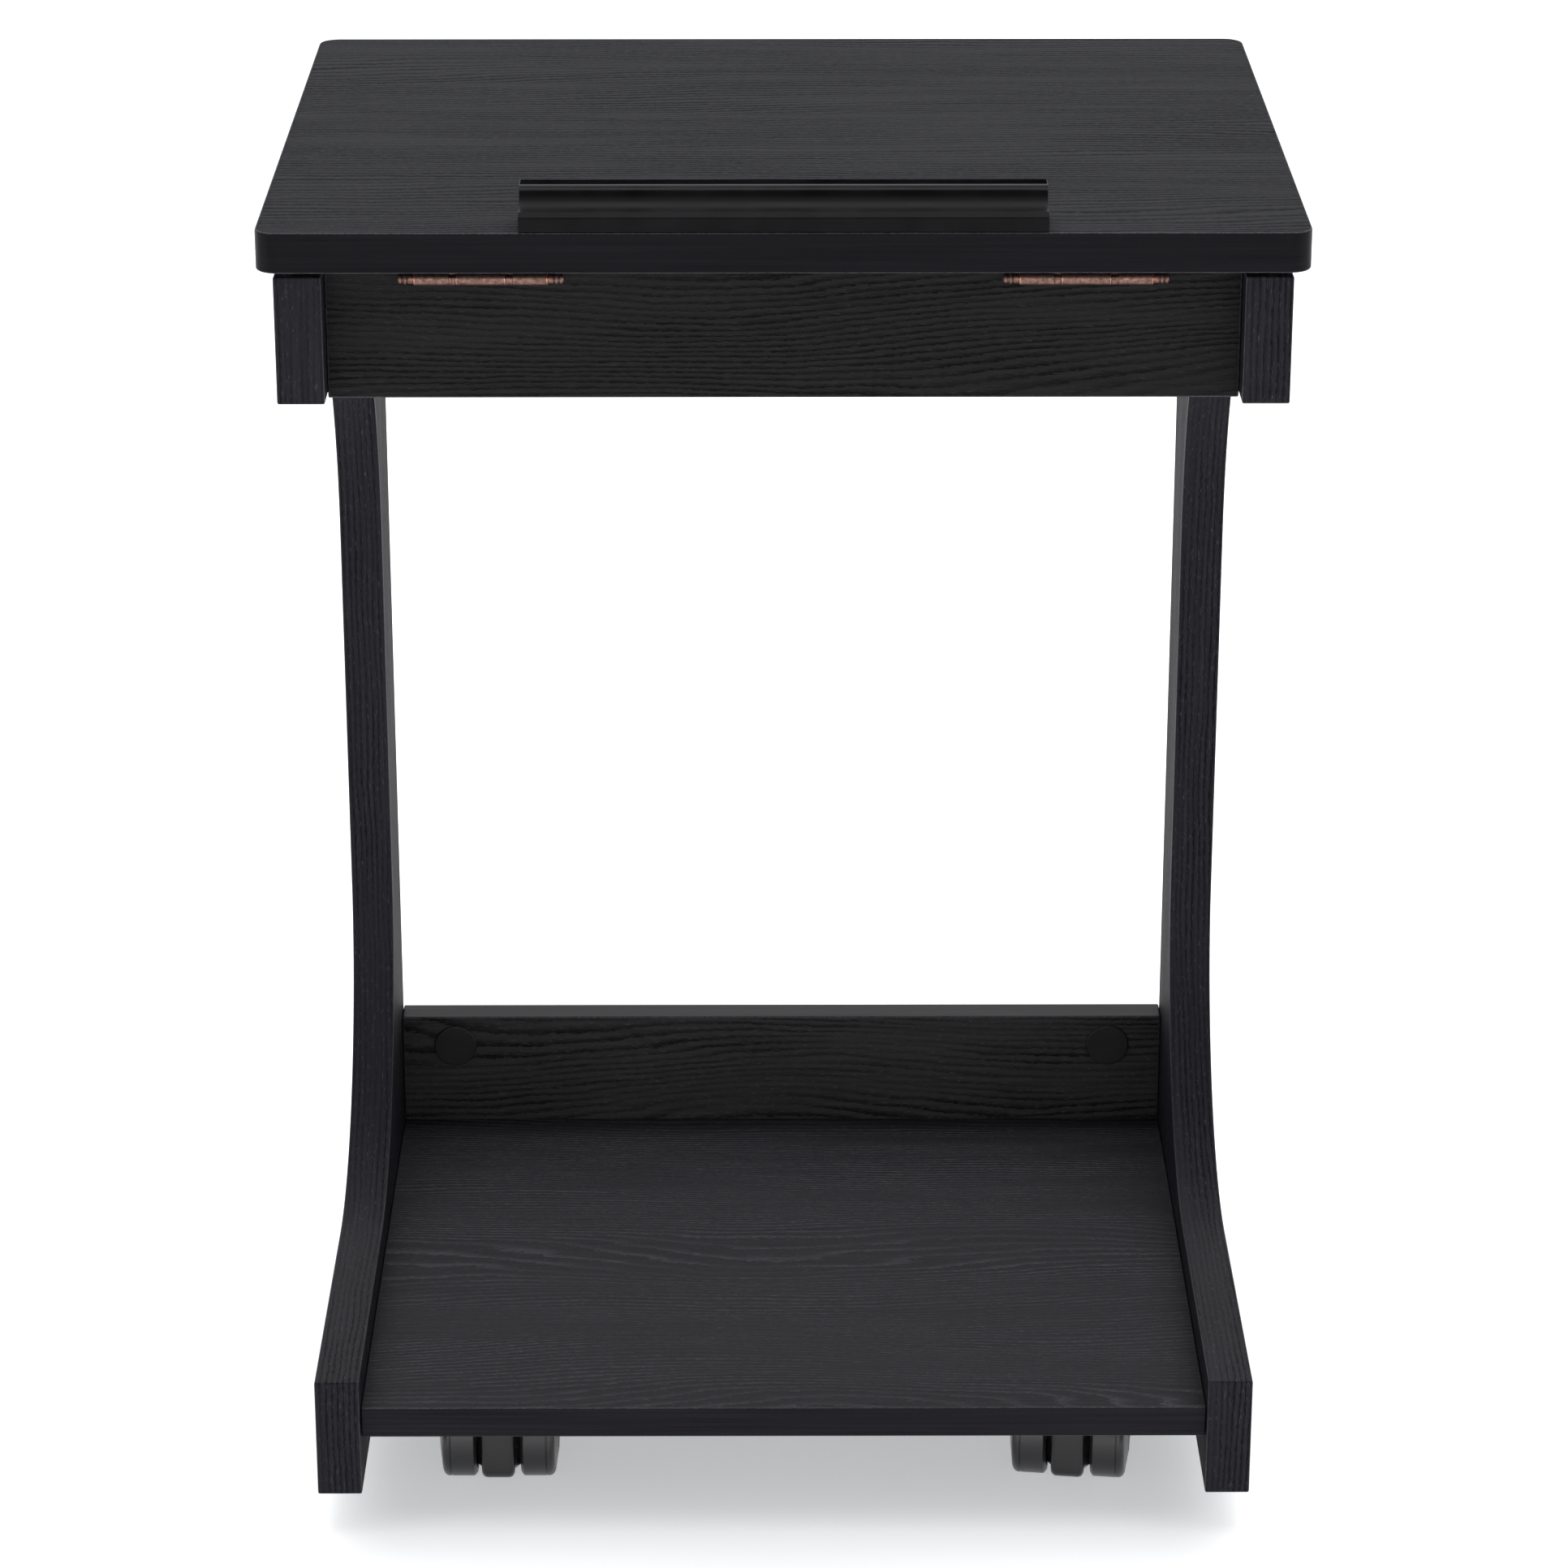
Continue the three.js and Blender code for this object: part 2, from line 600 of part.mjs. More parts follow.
makeTabletop();
makeBookLedge();
makeBoards();
makeBaseRail();
makeBumpers();
makeProp();
for (const [side, word] of [[-1, 'left'], [1, 'right']]) {
  makeSidePanel(side, word);
  makeHinge(side, word);
  makeBracket(side, word);
  makeRack(side, word);
  makeCaster(`caster_front_${word}`, side * CASTER_X, FRONT_CASTER, side > 0 ? CASTER_YAW : 0);
  makeCaster(`caster_rear_${word}`, side * CASTER_X, REAR_CASTER, 0);
}

export default group;
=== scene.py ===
import json
import math

import bmesh
import bpy
from mathutils import Matrix, Vector


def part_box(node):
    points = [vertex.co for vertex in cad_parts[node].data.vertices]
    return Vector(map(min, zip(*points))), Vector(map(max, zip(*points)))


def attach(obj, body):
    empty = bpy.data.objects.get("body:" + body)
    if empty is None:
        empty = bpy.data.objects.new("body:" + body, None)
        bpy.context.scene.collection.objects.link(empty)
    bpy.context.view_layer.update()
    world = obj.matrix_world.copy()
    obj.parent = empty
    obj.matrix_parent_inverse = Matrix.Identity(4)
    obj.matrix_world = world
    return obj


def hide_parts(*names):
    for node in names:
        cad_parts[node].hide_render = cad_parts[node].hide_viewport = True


# A C-shaped rolling side table in black wood-grain laminate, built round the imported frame.
# Metres. +Z is up, +X is to the right and -Y is the front.

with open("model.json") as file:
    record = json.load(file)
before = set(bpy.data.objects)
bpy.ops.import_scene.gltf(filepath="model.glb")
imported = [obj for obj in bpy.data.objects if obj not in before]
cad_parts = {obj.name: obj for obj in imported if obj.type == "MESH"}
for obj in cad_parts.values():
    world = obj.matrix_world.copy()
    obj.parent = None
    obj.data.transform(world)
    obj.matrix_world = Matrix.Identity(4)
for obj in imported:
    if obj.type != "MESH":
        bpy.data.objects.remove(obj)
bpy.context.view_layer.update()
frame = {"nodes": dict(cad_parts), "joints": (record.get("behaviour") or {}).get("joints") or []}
scene = bpy.context.scene
scene.view_settings.view_transform = "Standard"
JOINTS = {joint["name"]: joint for joint in frame["joints"]}

MM = 0.001
NO_LENGTH = 1e-7                   # points closer than this are the same point
SIDES = {"left": -1, "right": 1}


# ---------------------------------------------------------------- node materials

class Shader:
    """A material under construction: its node tree and its Principled shader."""

    def __init__(self, name, roughness, metallic=0.0, specular=0.5):
        self.material = bpy.data.materials.new(name)
        self.material.use_nodes = True
        self.tree = self.material.node_tree
        self.principled = self.tree.nodes["Principled BSDF"]
        self.principled.inputs["Roughness"].default_value = roughness
        self.principled.inputs["Metallic"].default_value = metallic
        self.principled.inputs["Specular IOR Level"].default_value = specular

    def node(self, kind, links=None, values=None, **settings):
        made = self.tree.nodes.new(kind)
        for key, value in settings.items():
            setattr(made, key, value)
        for key, value in (values or {}).items():
            made.inputs[key].default_value = value
        for key, source in (links or {}).items():
            self.tree.links.new(source, made.inputs[key])
        return made

    def math(self, operation, first, second=None, third=None):
        made = self.node("ShaderNodeMath", operation=operation)
        for index, value in enumerate((first, second, third)):
            if value is None:
                continue
            if isinstance(value, (int, float)):
                made.inputs[index].default_value = value
            else:
                self.tree.links.new(value, made.inputs[index])
        return made.outputs[0]

    def stretched(self, source, scale, shift=(0, 0, 0)):
        made = self.node("ShaderNodeMapping", {"Vector": source}, {"Scale": scale, "Location": shift})
        return made.outputs["Vector"]

    def noise(self, source, scale=1.0, detail=2.0, roughness=0.5):
        made = self.node(
            "ShaderNodeTexNoise",
            {"Vector": source},
            {"Scale": scale, "Detail": detail, "Roughness": roughness},
        )
        return made.outputs["Fac"]

    def spread(self, source, low, high, to_low=0.0, to_high=1.0):
        made = self.node(
            "ShaderNodeMapRange",
            {"Value": source},
            {"From Min": low, "From Max": high, "To Min": to_low, "To Max": to_high},
        )
        return made.outputs["Result"]

    def ramp(self, source, stops):
        made = self.node("ShaderNodeValToRGB", {"Fac": source})
        elements = made.color_ramp.elements
        while len(elements) < len(stops):
            elements.new(0.5)
        for element, (place, value) in zip(elements, stops):
            element.position = place
            element.color = (value, value, value, 1)
        return made.outputs["Color"]

    def mix(self, share, first, second):
        """Blends two colours. The Mix node's colour sockets are told apart only by their numbers."""
        made = self.node("ShaderNodeMix", {0: share}, data_type="RGBA")
        for index, value in ((6, first), (7, second)):
            if isinstance(value, tuple):
                made.inputs[index].default_value = (*value, 1)
            else:
                self.tree.links.new(value, made.inputs[index])
        return made.outputs[2]

    def colour(self, source):
        self.tree.links.new(source, self.principled.inputs["Base Color"])

    def roughness(self, source):
        self.tree.links.new(source, self.principled.inputs["Roughness"])

    def bump(self, height, strength, depth):
        made = self.node("ShaderNodeBump", {"Height": height}, {"Strength": strength, "Distance": depth})
        self.tree.links.new(made.outputs["Normal"], self.principled.inputs["Normal"])


def laminate(name, ground, line, fleck, rate, wander, seed,
             emboss, roughness, specular, line_width=0.3, lean=0.0):
    """Embossed wood-grain foil. The grain runs along u of the grain map, which is in metres.

    rate is growth lines per metre across the grain, and wander is how many lines the slow noise
    bends them by, which is what makes the arches. lean is how far the lines drift across in a metre
    along. Each line is a ragged row of short pores in the line colour, darker than the ground on most
    boards. On the shelf the line colour is paler, and there the lines are painted glints."""
    shader = Shader(name, roughness, specular=specular)
    grain = shader.node("ShaderNodeUVMap", uv_map="grain").outputs["UV"]
    split = shader.node("ShaderNodeSeparateXYZ", {"Vector": grain})
    across = shader.math("MULTIPLY_ADD", split.outputs["X"], lean, split.outputs["Y"])
    slow = shader.noise(shader.stretched(grain, (1.7, 8.0, 1), (seed, seed * 0.7, seed)), detail=1.4)
    wobble = shader.noise(shader.stretched(grain, (17, 70, 1), (seed, 0, seed)), detail=2.0)
    count = shader.math("MULTIPLY_ADD", slow, wander, shader.math("MULTIPLY", across, rate))
    count = shader.math("MULTIPLY_ADD", wobble, 1.3, count)
    fibre = shader.noise(shader.stretched(grain, (260, 1500, 1), (0, seed, seed)), detail=2.5, roughness=0.6)
    ragged = shader.math("MULTIPLY_ADD", shader.math("SUBTRACT", fibre, 0.5), 0.9, count)
    phase = shader.math("FRACT", ragged)
    row = shader.ramp(phase, ((0.0, 0.0), (0.04, 1.0), (line_width, 0.45), (line_width + 0.22, 0.0)))
    strength = shader.noise(shader.stretched(grain, (7, 60, 1), (0, 0, seed)), detail=2.0)
    row = shader.math("MULTIPLY", row, shader.spread(strength, 0.34, 0.6, 0.25, 1.0))
    streak = shader.noise(shader.stretched(grain, (9, 520, 1), (seed, seed, 0)), detail=3.0, roughness=0.6)
    cloud = shader.noise(shader.stretched(grain, (4, 22, 1), (seed, 0, 0)), detail=2.0)
    tone = shader.math("MULTIPLY_ADD", shader.spread(cloud, 0.3, 0.7), 0.35, shader.spread(streak, 0.3, 0.7))
    face = shader.mix(tone, tuple(channel * 0.62 for channel in ground), ground)
    specks = shader.spread(fibre, 0.62, 0.72)
    face = shader.mix(shader.math("MULTIPLY", specks, 0.7), face, fleck)
    shader.colour(shader.mix(row, face, line))
    height = shader.math("MULTIPLY_ADD", row, -1.0, shader.math("MULTIPLY", streak, 0.5))
    height = shader.math("MULTIPLY_ADD", fibre, 0.5, height)
    shader.bump(height, emboss, 0.4 * MM)
    shader.roughness(shader.spread(row, 0.0, 1.0, roughness, roughness + 0.14))
    return shader.material


def arris(name, dark, light):
    """The rounded corner between two faces. Its paler colour is a painted highlight along the edge."""
    shader = Shader(name, 0.36, specular=0.22)
    place = shader.node("ShaderNodeTexCoord").outputs["Object"]
    nicks = shader.noise(place, 700, detail=3.0, roughness=0.7)
    shader.colour(shader.mix(shader.spread(nicks, 0.35, 0.7), dark, light))
    shader.bump(nicks, 0.4, 0.1 * MM)
    shader.roughness(shader.spread(nicks, 0.3, 0.7, 0.30, 0.48))
    return shader.material


def edge_band(name, dark, light, seed):
    """Thin plastic banding: darker and smoother than the faces, with faint lines along the edge."""
    shader = Shader(name, 0.36, specular=0.06)
    grain = shader.node("ShaderNodeUVMap", uv_map="grain").outputs["UV"]
    lines = shader.noise(shader.stretched(grain, (9, 700, 1), (seed, 0, seed)), detail=3.0)
    cloud = shader.noise(shader.stretched(grain, (6, 60, 1), (0, seed, 0)), detail=2.0)
    shade = shader.math("MULTIPLY_ADD", cloud, 0.4, shader.math("MULTIPLY", lines, 0.6))
    shader.colour(shader.mix(shader.spread(shade, 0.35, 0.65), dark, light))
    shader.bump(lines, 0.25, 0.12 * MM)
    shader.roughness(shader.spread(cloud, 0.3, 0.7, 0.30, 0.42))
    return shader.material


def moulded(name, colour, roughness, bumpiness, scale, specular=0.5, wear=0.0):
    """Moulded plastic, powder coat or rubber: a fine even texture, slightly paler where it is rubbed."""
    shader = Shader(name, roughness, specular=specular)
    place = shader.node("ShaderNodeTexCoord").outputs["Object"]
    fine = shader.noise(place, scale, detail=3.0)
    broad = shader.noise(place, scale / 40, detail=2.0)
    pale = tuple(channel * (1.6 + wear) + 0.002 for channel in colour)
    shader.colour(shader.mix(shader.spread(broad, 0.3, 0.75), colour, pale))
    shader.bump(fine, bumpiness, 0.1 * MM)
    shader.roughness(shader.spread(broad, 0.3, 0.7, roughness - 0.05, roughness + 0.07))
    return shader.material


def brushed_metal(name, colour, shade, roughness):
    """Plated metal with fine lines from the tumbler or the brush, and a cloudy tarnish."""
    shader = Shader(name, roughness, metallic=1.0)
    place = shader.node("ShaderNodeTexCoord").outputs["Object"]
    line = shader.noise(shader.stretched(place, (900, 60, 60)), detail=3.0)
    cloud = shader.noise(place, 420, detail=5.0, roughness=0.7)
    shader.colour(shader.mix(shader.spread(cloud, 0.36, 0.66), shade, colour))
    shader.bump(line, 0.2, 0.1 * MM)
    shader.roughness(shader.spread(cloud, 0.3, 0.7, roughness + 0.12, roughness - 0.08))
    return shader.material


def painted_backdrop(name, glow):
    """Pale matt paint with a barely visible mottle. It glows a little, which thins the shadow."""
    shader = Shader(name, 0.85, specular=0.1)
    place = shader.node("ShaderNodeTexCoord").outputs["Object"]
    mottle = shader.noise(place, 3.0, detail=3.0)
    shader.colour(shader.mix(mottle, (0.86, 0.86, 0.87), (0.9, 0.9, 0.9)))
    shader.principled.inputs["Emission Color"].default_value = (0.97, 0.98, 1.0, 1)
    shader.principled.inputs["Emission Strength"].default_value = glow
    return shader.material


TOP_LAMINATE = laminate(
    "laminate_tabletop", (0.0180, 0.0186, 0.0214), (0.0033, 0.0034, 0.0042), (0.060, 0.062, 0.067),
    230, 24.0, 3.1, emboss=0.7, roughness=0.62, specular=0.03, line_width=0.26, lean=-0.012,
)
# The shelf's growth lines are paler than its ground: painted glints along the grain.
SHELF_LAMINATE = laminate(
    "laminate_base_shelf", (0.0215, 0.0215, 0.0256), (0.066, 0.067, 0.073), (0.062, 0.062, 0.068),
    270, 46.0, 8.6, emboss=0.7, roughness=0.6, specular=0.06, line_width=0.22, lean=-0.02,
)
RAIL_LAMINATE = laminate(
    "laminate_apron", (0.0120, 0.0120, 0.0126), (0.0004, 0.0004, 0.0005), (0.026, 0.026, 0.027),
    220, 38.0, 5.4, emboss=0.9, roughness=0.55, specular=0.08, line_width=0.34, lean=-0.035,
)
# A paler copy of the apron laminate: painted light, to make up for the shade the rear rails stand in.
REAR_RAIL_LIT_LAMINATE = laminate(
    "laminate_rear_rails_painted_light", (0.0310, 0.0310, 0.0325), (0.0010, 0.0010, 0.0012), (0.066, 0.066, 0.069),
    220, 38.0, 5.4, emboss=0.9, roughness=0.55, specular=0.12, line_width=0.34, lean=-0.035,
)
PANEL_LAMINATE = laminate(
    "laminate_panels", (0.0110, 0.0110, 0.0138), (0.0020, 0.0020, 0.0028), (0.036, 0.036, 0.043),
    230, 26.0, 1.7, emboss=0.5, roughness=0.62, specular=0.08,
)
EDGE_BAND = edge_band("edge_band_boards", (0.0024, 0.0025, 0.0038), (0.0064, 0.0064, 0.0084), 2.2)
PANEL_EDGE = laminate(
    "edge_band_panels", (0.0180, 0.0180, 0.0224), (0.0024, 0.0024, 0.0034), (0.066, 0.066, 0.076),
    330, 5.0, 7.7, emboss=0.7, roughness=0.52, specular=0.05, line_width=0.25,
)
# Every rounded board edge gets this paler colour: a painted highlight along the edge.
ARRIS_HIGHLIGHT = arris("laminate_arris_painted_highlight", (0.010, 0.010, 0.013), (0.048, 0.048, 0.055))
SHELF_BAND = edge_band("edge_band_shelf", (0.0060, 0.0060, 0.0080), (0.0140, 0.0140, 0.0175), 4.9)
LEDGE_MATT = moulded("ledge_matt_top", (0.0024, 0.0022, 0.0030), 0.75, 0.3, 1500, 0.0)
# Paler than the rest of the ledge: the lip's colour is a painted highlight. Its higher specular is a real
# glossier finish.
LEDGE_LIP_HIGHLIGHT = moulded("ledge_lip_painted_highlight", (0.0060, 0.0060, 0.0066), 0.42, 0.1, 1800, 0.3)
LEDGE_PLASTIC = moulded("ledge_satin_plastic", (0.0026, 0.0026, 0.0031), 0.34, 0.1, 1800, 0.06)
COPPER = brushed_metal("copper_antique", (0.26, 0.150, 0.120), (0.085, 0.052, 0.044), 0.42)
COPPER_BRIGHT = brushed_metal("copper_rubbed_bright", (0.95, 0.50, 0.33), (0.62, 0.30, 0.20), 0.26)
ZINC = brushed_metal("zinc_plate", (0.62, 0.62, 0.60), (0.42, 0.43, 0.44), 0.34)
POWDER_COAT = moulded("black_powder_coat", (0.0095, 0.0095, 0.0105), 0.46, 0.35, 1500, 0.5)
CASTER_PLASTIC = moulded("caster_nylon", (0.0070, 0.0070, 0.0075), 0.25, 0.12, 900, 0.5)
WHEEL_PLASTIC = moulded("wheel_nylon", (0.0085, 0.0085, 0.0092), 0.30, 0.18, 1100, 0.5, wear=0.5)
RACK_PLASTIC = moulded("rack_moulded_plastic", (0.0085, 0.0085, 0.0092), 0.42, 0.25, 1300)
CAP_PLASTIC = moulded("cap_moulded_plastic", (0.0040, 0.0040, 0.0045), 0.42, 0.3, 1600, 0.35)
RUBBER = moulded("bumper_rubber", (0.010, 0.010, 0.010), 0.75, 0.4, 2200, 0.3)
FLOOR_PAINT = painted_backdrop("pale_floor", 0.42)
WALL_PAINT = painted_backdrop("pale_wall", 0.6)


# ---------------------------------------------------------------- mesh helpers

SHARP_CORNER = math.radians(35)


def oval(centre, reach, start, end, steps):
    """Points on an ellipse with two half widths, from one angle to another in degrees."""
    points = []
    for step in range(steps + 1):
        angle = math.radians(start + (end - start) * step / steps)
        points.append((centre[0] + reach[0] * math.cos(angle), centre[1] + reach[1] * math.sin(angle)))
    return points


def arc(centre, radius, start, end, steps):
    """Points on a circle, from one angle to another in degrees."""
    return oval(centre, (radius, radius), start, end, steps)


def bent(start, pull, end, steps):
    """Points on a curve that leaves start towards pull and comes to end from it."""
    shares = [step / steps for step in range(steps + 1)]
    return [start * (1 - t) ** 2 + pull * (2 * t * (1 - t)) + end * t * t for t in shares]


def rounded_rectangle(half_x, half_y, corner, steps):
    """The outline of a rectangle round the origin, its corners rounded."""
    outline = []
    for x, y, start in ((1, 1, 0), (-1, 1, 90), (-1, -1, 180), (1, -1, 270)):
        centre = (x * (half_x - corner), y * (half_y - corner))
        outline += arc(centre, corner, start, start + 90, steps)
    return outline


def without_doubles(points):
    """The outline with points that coincide taken out."""
    kept = []
    for point in points:
        if not kept or math.dist(point, kept[-1]) > NO_LENGTH:
            kept.append(point)
    if math.dist(kept[0], kept[-1]) < NO_LENGTH:
        kept.pop()
    return kept


def prism(outline, low, high, axis, bevel=0.0, segments=3):
    """An outline extruded along X or Z. Its two coordinates are the other axes, in X, Y, Z order."""
    order = {"X": (2, 0, 1), "Z": (0, 1, 2)}[axis]
    mesh = bmesh.new()

    def place(point, along):
        values = (point[0], point[1], along)
        return Vector(tuple(values[index] for index in order))

    outline = without_doubles(outline)
    near = [mesh.verts.new(place(point, low)) for point in outline]
    far = [mesh.verts.new(place(point, high)) for point in outline]
    ends = [mesh.faces.new(near), mesh.faces.new(far)]
    for index in range(len(outline)):
        after = (index + 1) % len(outline)
        mesh.faces.new((near[index], near[after], far[after], far[index]))
    bmesh.ops.recalc_face_normals(mesh, faces=mesh.faces)
    if bevel:
        rims = list({edge for face in ends for edge in face.edges})
        corners = [
            edge for edge in mesh.edges
            if edge not in rims and edge.calc_face_angle(0) > SHARP_CORNER
        ]
        bmesh.ops.bevel(
            mesh, geom=rims + corners, offset=bevel, segments=segments, profile=0.5, affect="EDGES",
            clamp_overlap=True,
        )
    return mesh


def slab(low, high, bevel=0.0, segments=3):
    """A box with rounded edges."""
    outline = [(low[0], low[1]), (high[0], low[1]), (high[0], high[1]), (low[0], high[1])]
    return prism(outline, low[2], high[2], "Z", bevel, segments)


def turned(profile, sides, axis):
    """A (radius, along) profile turned about an axis through the origin."""
    mesh = bmesh.new()
    rings = []
    for radius, along in profile:
        count = 1 if radius < NO_LENGTH else sides
        ring = []
        for index in range(count):
            angle = 2 * math.pi * index / sides
            a, b = radius * math.cos(angle), radius * math.sin(angle)
            place = {"X": (along, a, b), "Y": (b, along, a), "Z": (a, b, along)}[axis]
            ring.append(mesh.verts.new(place))
        rings.append(ring)
    for first, second in zip(rings, rings[1:]):
        for index in range(sides):
            after = (index + 1) % sides
            corners = [
                first[index % len(first)], first[after % len(first)],
                second[after % len(second)], second[index % len(second)],
            ]
            face = list(dict.fromkeys(corners))
            if len(face) > 2:
                mesh.faces.new(face)
    bmesh.ops.recalc_face_normals(mesh, faces=mesh.faces)
    return mesh


def chamfered_bar(radius, half, chamfer, sides):
    """A round bar along X, its ends chamfered."""
    return turned([
        (0, -half), (radius - chamfer, -half), (radius, -half + chamfer),
        (radius, half - chamfer), (radius - chamfer, half), (0, half),
    ], sides, "X")


def moved(mesh, matrix):
    bmesh.ops.transform(mesh, matrix=matrix, verts=mesh.verts)
    return mesh


def mesh_data(name, mesh):
    """The working mesh as Blender data. The working mesh itself is freed."""
    data = bpy.data.meshes.new(name)
    mesh.to_mesh(data)
    mesh.free()
    return data


def linked(name, data):
    """A new object with this data, in the scene."""
    made = bpy.data.objects.new(name, data)
    scene.collection.objects.link(made)
    return made


def merged(*meshes):
    """Several meshes as one, each still a closed solid of its own."""
    whole = bmesh.new()
    for mesh in meshes:
        data = mesh_data("part", mesh)
        whole.from_mesh(data)
        bpy.data.meshes.remove(data)
    return whole


def lay_grain(mesh, along, shift=(0.0, 0.0)):
    """Writes the grain map, in metres: u runs with the grain and v across it."""
    layer = mesh.loops.layers.uv.new("grain")
    run = "XYZ".index(along)
    spans = [
        max(vert.co[axis] for vert in mesh.verts) - min(vert.co[axis] for vert in mesh.verts)
        for axis in range(3)
    ]
    for face in mesh.faces:
        facing = max(range(3), key=lambda axis: abs(face.normal[axis]))
        flat = [axis for axis in range(3) if axis != facing]
        u_axis = run if run in flat else max(flat, key=lambda axis: spans[axis])
        v_axis = flat[0] if flat[1] == u_axis else flat[1]
        for loop in face.loops:
            place = loop.vert.co
            loop[layer].uv = (place[u_axis] + shift[0] + facing, place[v_axis] + shift[1])


def mark_edges(mesh, axis):
    """A board faces along the axis. Its narrow sides get the second material, its corners the third, which
    paints a highlight on them.
    """
    facing = "XYZ".index(axis)
    for face in mesh.faces:
        squareness = abs(face.normal[facing])
        if squareness < 0.3:
            face.material_index = 1
        elif squareness < 0.97:
            face.material_index = 2


def piece(name, mesh, materials, body, replaces=(), matrix=None, sharp=40):
    """Turns a mesh into a smooth-shaded piece that rides on a CAD body."""
    data = mesh_data(name, mesh)
    made = linked(name, data)
    for material in materials:
        data.materials.append(material)
    data.shade_smooth()
    data.set_sharp_from_angle(angle=math.radians(sharp))
    normals = made.modifiers.new("weighted_normals", "WEIGHTED_NORMAL")
    normals.keep_sharp = True
    if matrix is not None:
        made.matrix_world = matrix
    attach(made, body)
    if replaces:
        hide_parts(*replaces)


# ---------------------------------------------------------------- screws

def cross_headed_screw(radius, height):
    """A domed screw head that stands on the XY plane, with a cross recess cut in its crown."""
    rim = 0.35 * height
    dome = oval((0, rim), (radius, height - rim), 0, 90, 6)
    head = turned([(0, 0), (radius, 0), *dome[:-1], (0, height)], 24, "Z")
    body = linked("screw_head_blank", mesh_data("screw_head", head))
    wide, narrow, deep = radius * 0.62, radius * 0.15, height * 0.45
    cutter = merged(
        slab((-wide, -narrow, height - deep), (wide, narrow, height + deep)),
        slab((-narrow, -wide, height - deep * 0.98), (narrow, wide, height + deep * 1.02)),
    )
    tool = linked("screw_cross_tool", mesh_data("screw_cross", cutter))
    cut = body.modifiers.new("cross", "BOOLEAN")
    cut.operation = "DIFFERENCE"
    cut.solver = "EXACT"
    cut.use_self = True
    cut.object = tool
    bpy.context.view_layer.update()
    result = bpy.data.meshes.new_from_object(body.evaluated_get(bpy.context.evaluated_depsgraph_get()))
    for made in (body, tool):
        bpy.data.objects.remove(made)
    return result


SCREW_RADIUS = 3.4 * MM
SCREW_HEIGHT = 2.0 * MM
SCREW_HEAD = cross_headed_screw(SCREW_RADIUS, SCREW_HEIGHT)


def screw(name, place, direction, body, material=ZINC, size=1.0, replaces=(), shank=0.0):
    """A screw whose head stands on a surface at place and looks along direction."""
    head = bmesh.new()
    head.from_mesh(SCREW_HEAD)
    if shank:
        thread = 1.45 * MM
        point = [(0, -shank), (1.0 * MM, -shank + 2 * MM), (thread, -shank + 4 * MM)]
        head = merged(head, turned([*point, (thread, 0), (0, 0)], 16, "Z"))
    turn = Vector((0, 0, 1)).rotation_difference(Vector(direction)).to_matrix().to_4x4()
    matrix = Matrix.Translation(place) @ turn @ Matrix.Scale(size, 4)
    piece(name, head, [material], body, replaces, matrix, sharp=30)


def screw_into_top(name, node):
    """A screw driven up into the tabletop, where its CAD solid stands."""
    low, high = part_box(node)
    centre = (low + high) / 2
    place = Vector((centre.x, centre.y, low.z + SCREW_HEIGHT))
    screw(name, place, (0, 0, -1), "top", shank=high.z - place.z, replaces=[node])


# ---------------------------------------------------------------- tabletop and ledge

def make_tabletop():
    low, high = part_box("tabletop")
    outline = rounded_rectangle(high.x, high.y, 10.5 * MM, 12)
    mesh = prism(outline, low.z, high.z, "Z", bevel=1.1 * MM, segments=4)
    lay_grain(mesh, "X")
    mark_edges(mesh, "Z")
    piece("tabletop_board", mesh, [TOP_LAMINATE, EDGE_BAND, ARRIS_HIGHLIGHT], "top", ["tabletop"])


def across_x(edge):
    """Whether both ends of an edge are at the same x."""
    return abs(edge.verts[0].co.x - edge.verts[1].co.x) < 1e-6


def make_ledge():
    """A bar with a flat top, a round lip, a hollow below it and a low upright front."""
    low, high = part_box("book_ledge")
    lip = 2.0 * MM
    lip_front = low.y + 16.2 * MM
    lip_arc = arc((lip_front + lip, high.z - lip), lip, 90, 207, 9)
    deepest = Vector((low.y + 14.2 * MM, low.z + 9.2 * MM))
    toe = Vector((low.y + 3.1 * MM, low.z + 8.8 * MM))
    hollow = bent(Vector(lip_arc[-1]), deepest, toe, 12)[1:]
    back_corner = 1.0 * MM
    front_top = low.z + 6.4 * MM
    outline = [
        (low.y, low.z), (high.y, low.z),
        *arc((high.y - back_corner, high.z - back_corner), back_corner, 0, 90, 4),
        *lip_arc, *hollow,
        (low.y + 0.25 * MM, front_top + 0.5 * MM), (low.y, front_top),
    ]
    mesh = prism(outline, low.x, high.x, "X")
    rims = [edge for edge in mesh.edges if across_x(edge)]
    bmesh.ops.bevel(mesh, geom=rims, offset=0.35 * MM, segments=2, profile=0.5, affect="EDGES")
    for face in mesh.faces:
        middle = face.calc_center_median()
        if face.normal.z > 0.99 and middle.z > high.z - 0.1 * MM:
            face.material_index = 1
        # The round lip gets the paler plastic, which paints a highlight along it.
        elif middle.z > high.z - 1.6 * lip and middle.y < lip_front + lip:
            face.material_index = 2
    piece("book_ledge_bar", mesh, [LEDGE_PLASTIC, LEDGE_MATT, LEDGE_LIP_HIGHLIGHT], "top",
          ["book_ledge"], sharp=24)
    for word in SIDES:
        screw_into_top(f"ledge_fixing_{word}", f"ledge_screw_{word}")


# ---------------------------------------------------------------- panels, rails and shelf

POST_DEPTH = 56 * MM
ARM_HEIGHT = 63 * MM
FOOT_HEIGHT = 65 * MM
UPPER_SWEEP = 172 * MM
LOWER_SWEEP = 145 * MM
SEAM = 0.8                         # a face that spans more than this lies where the outline closes


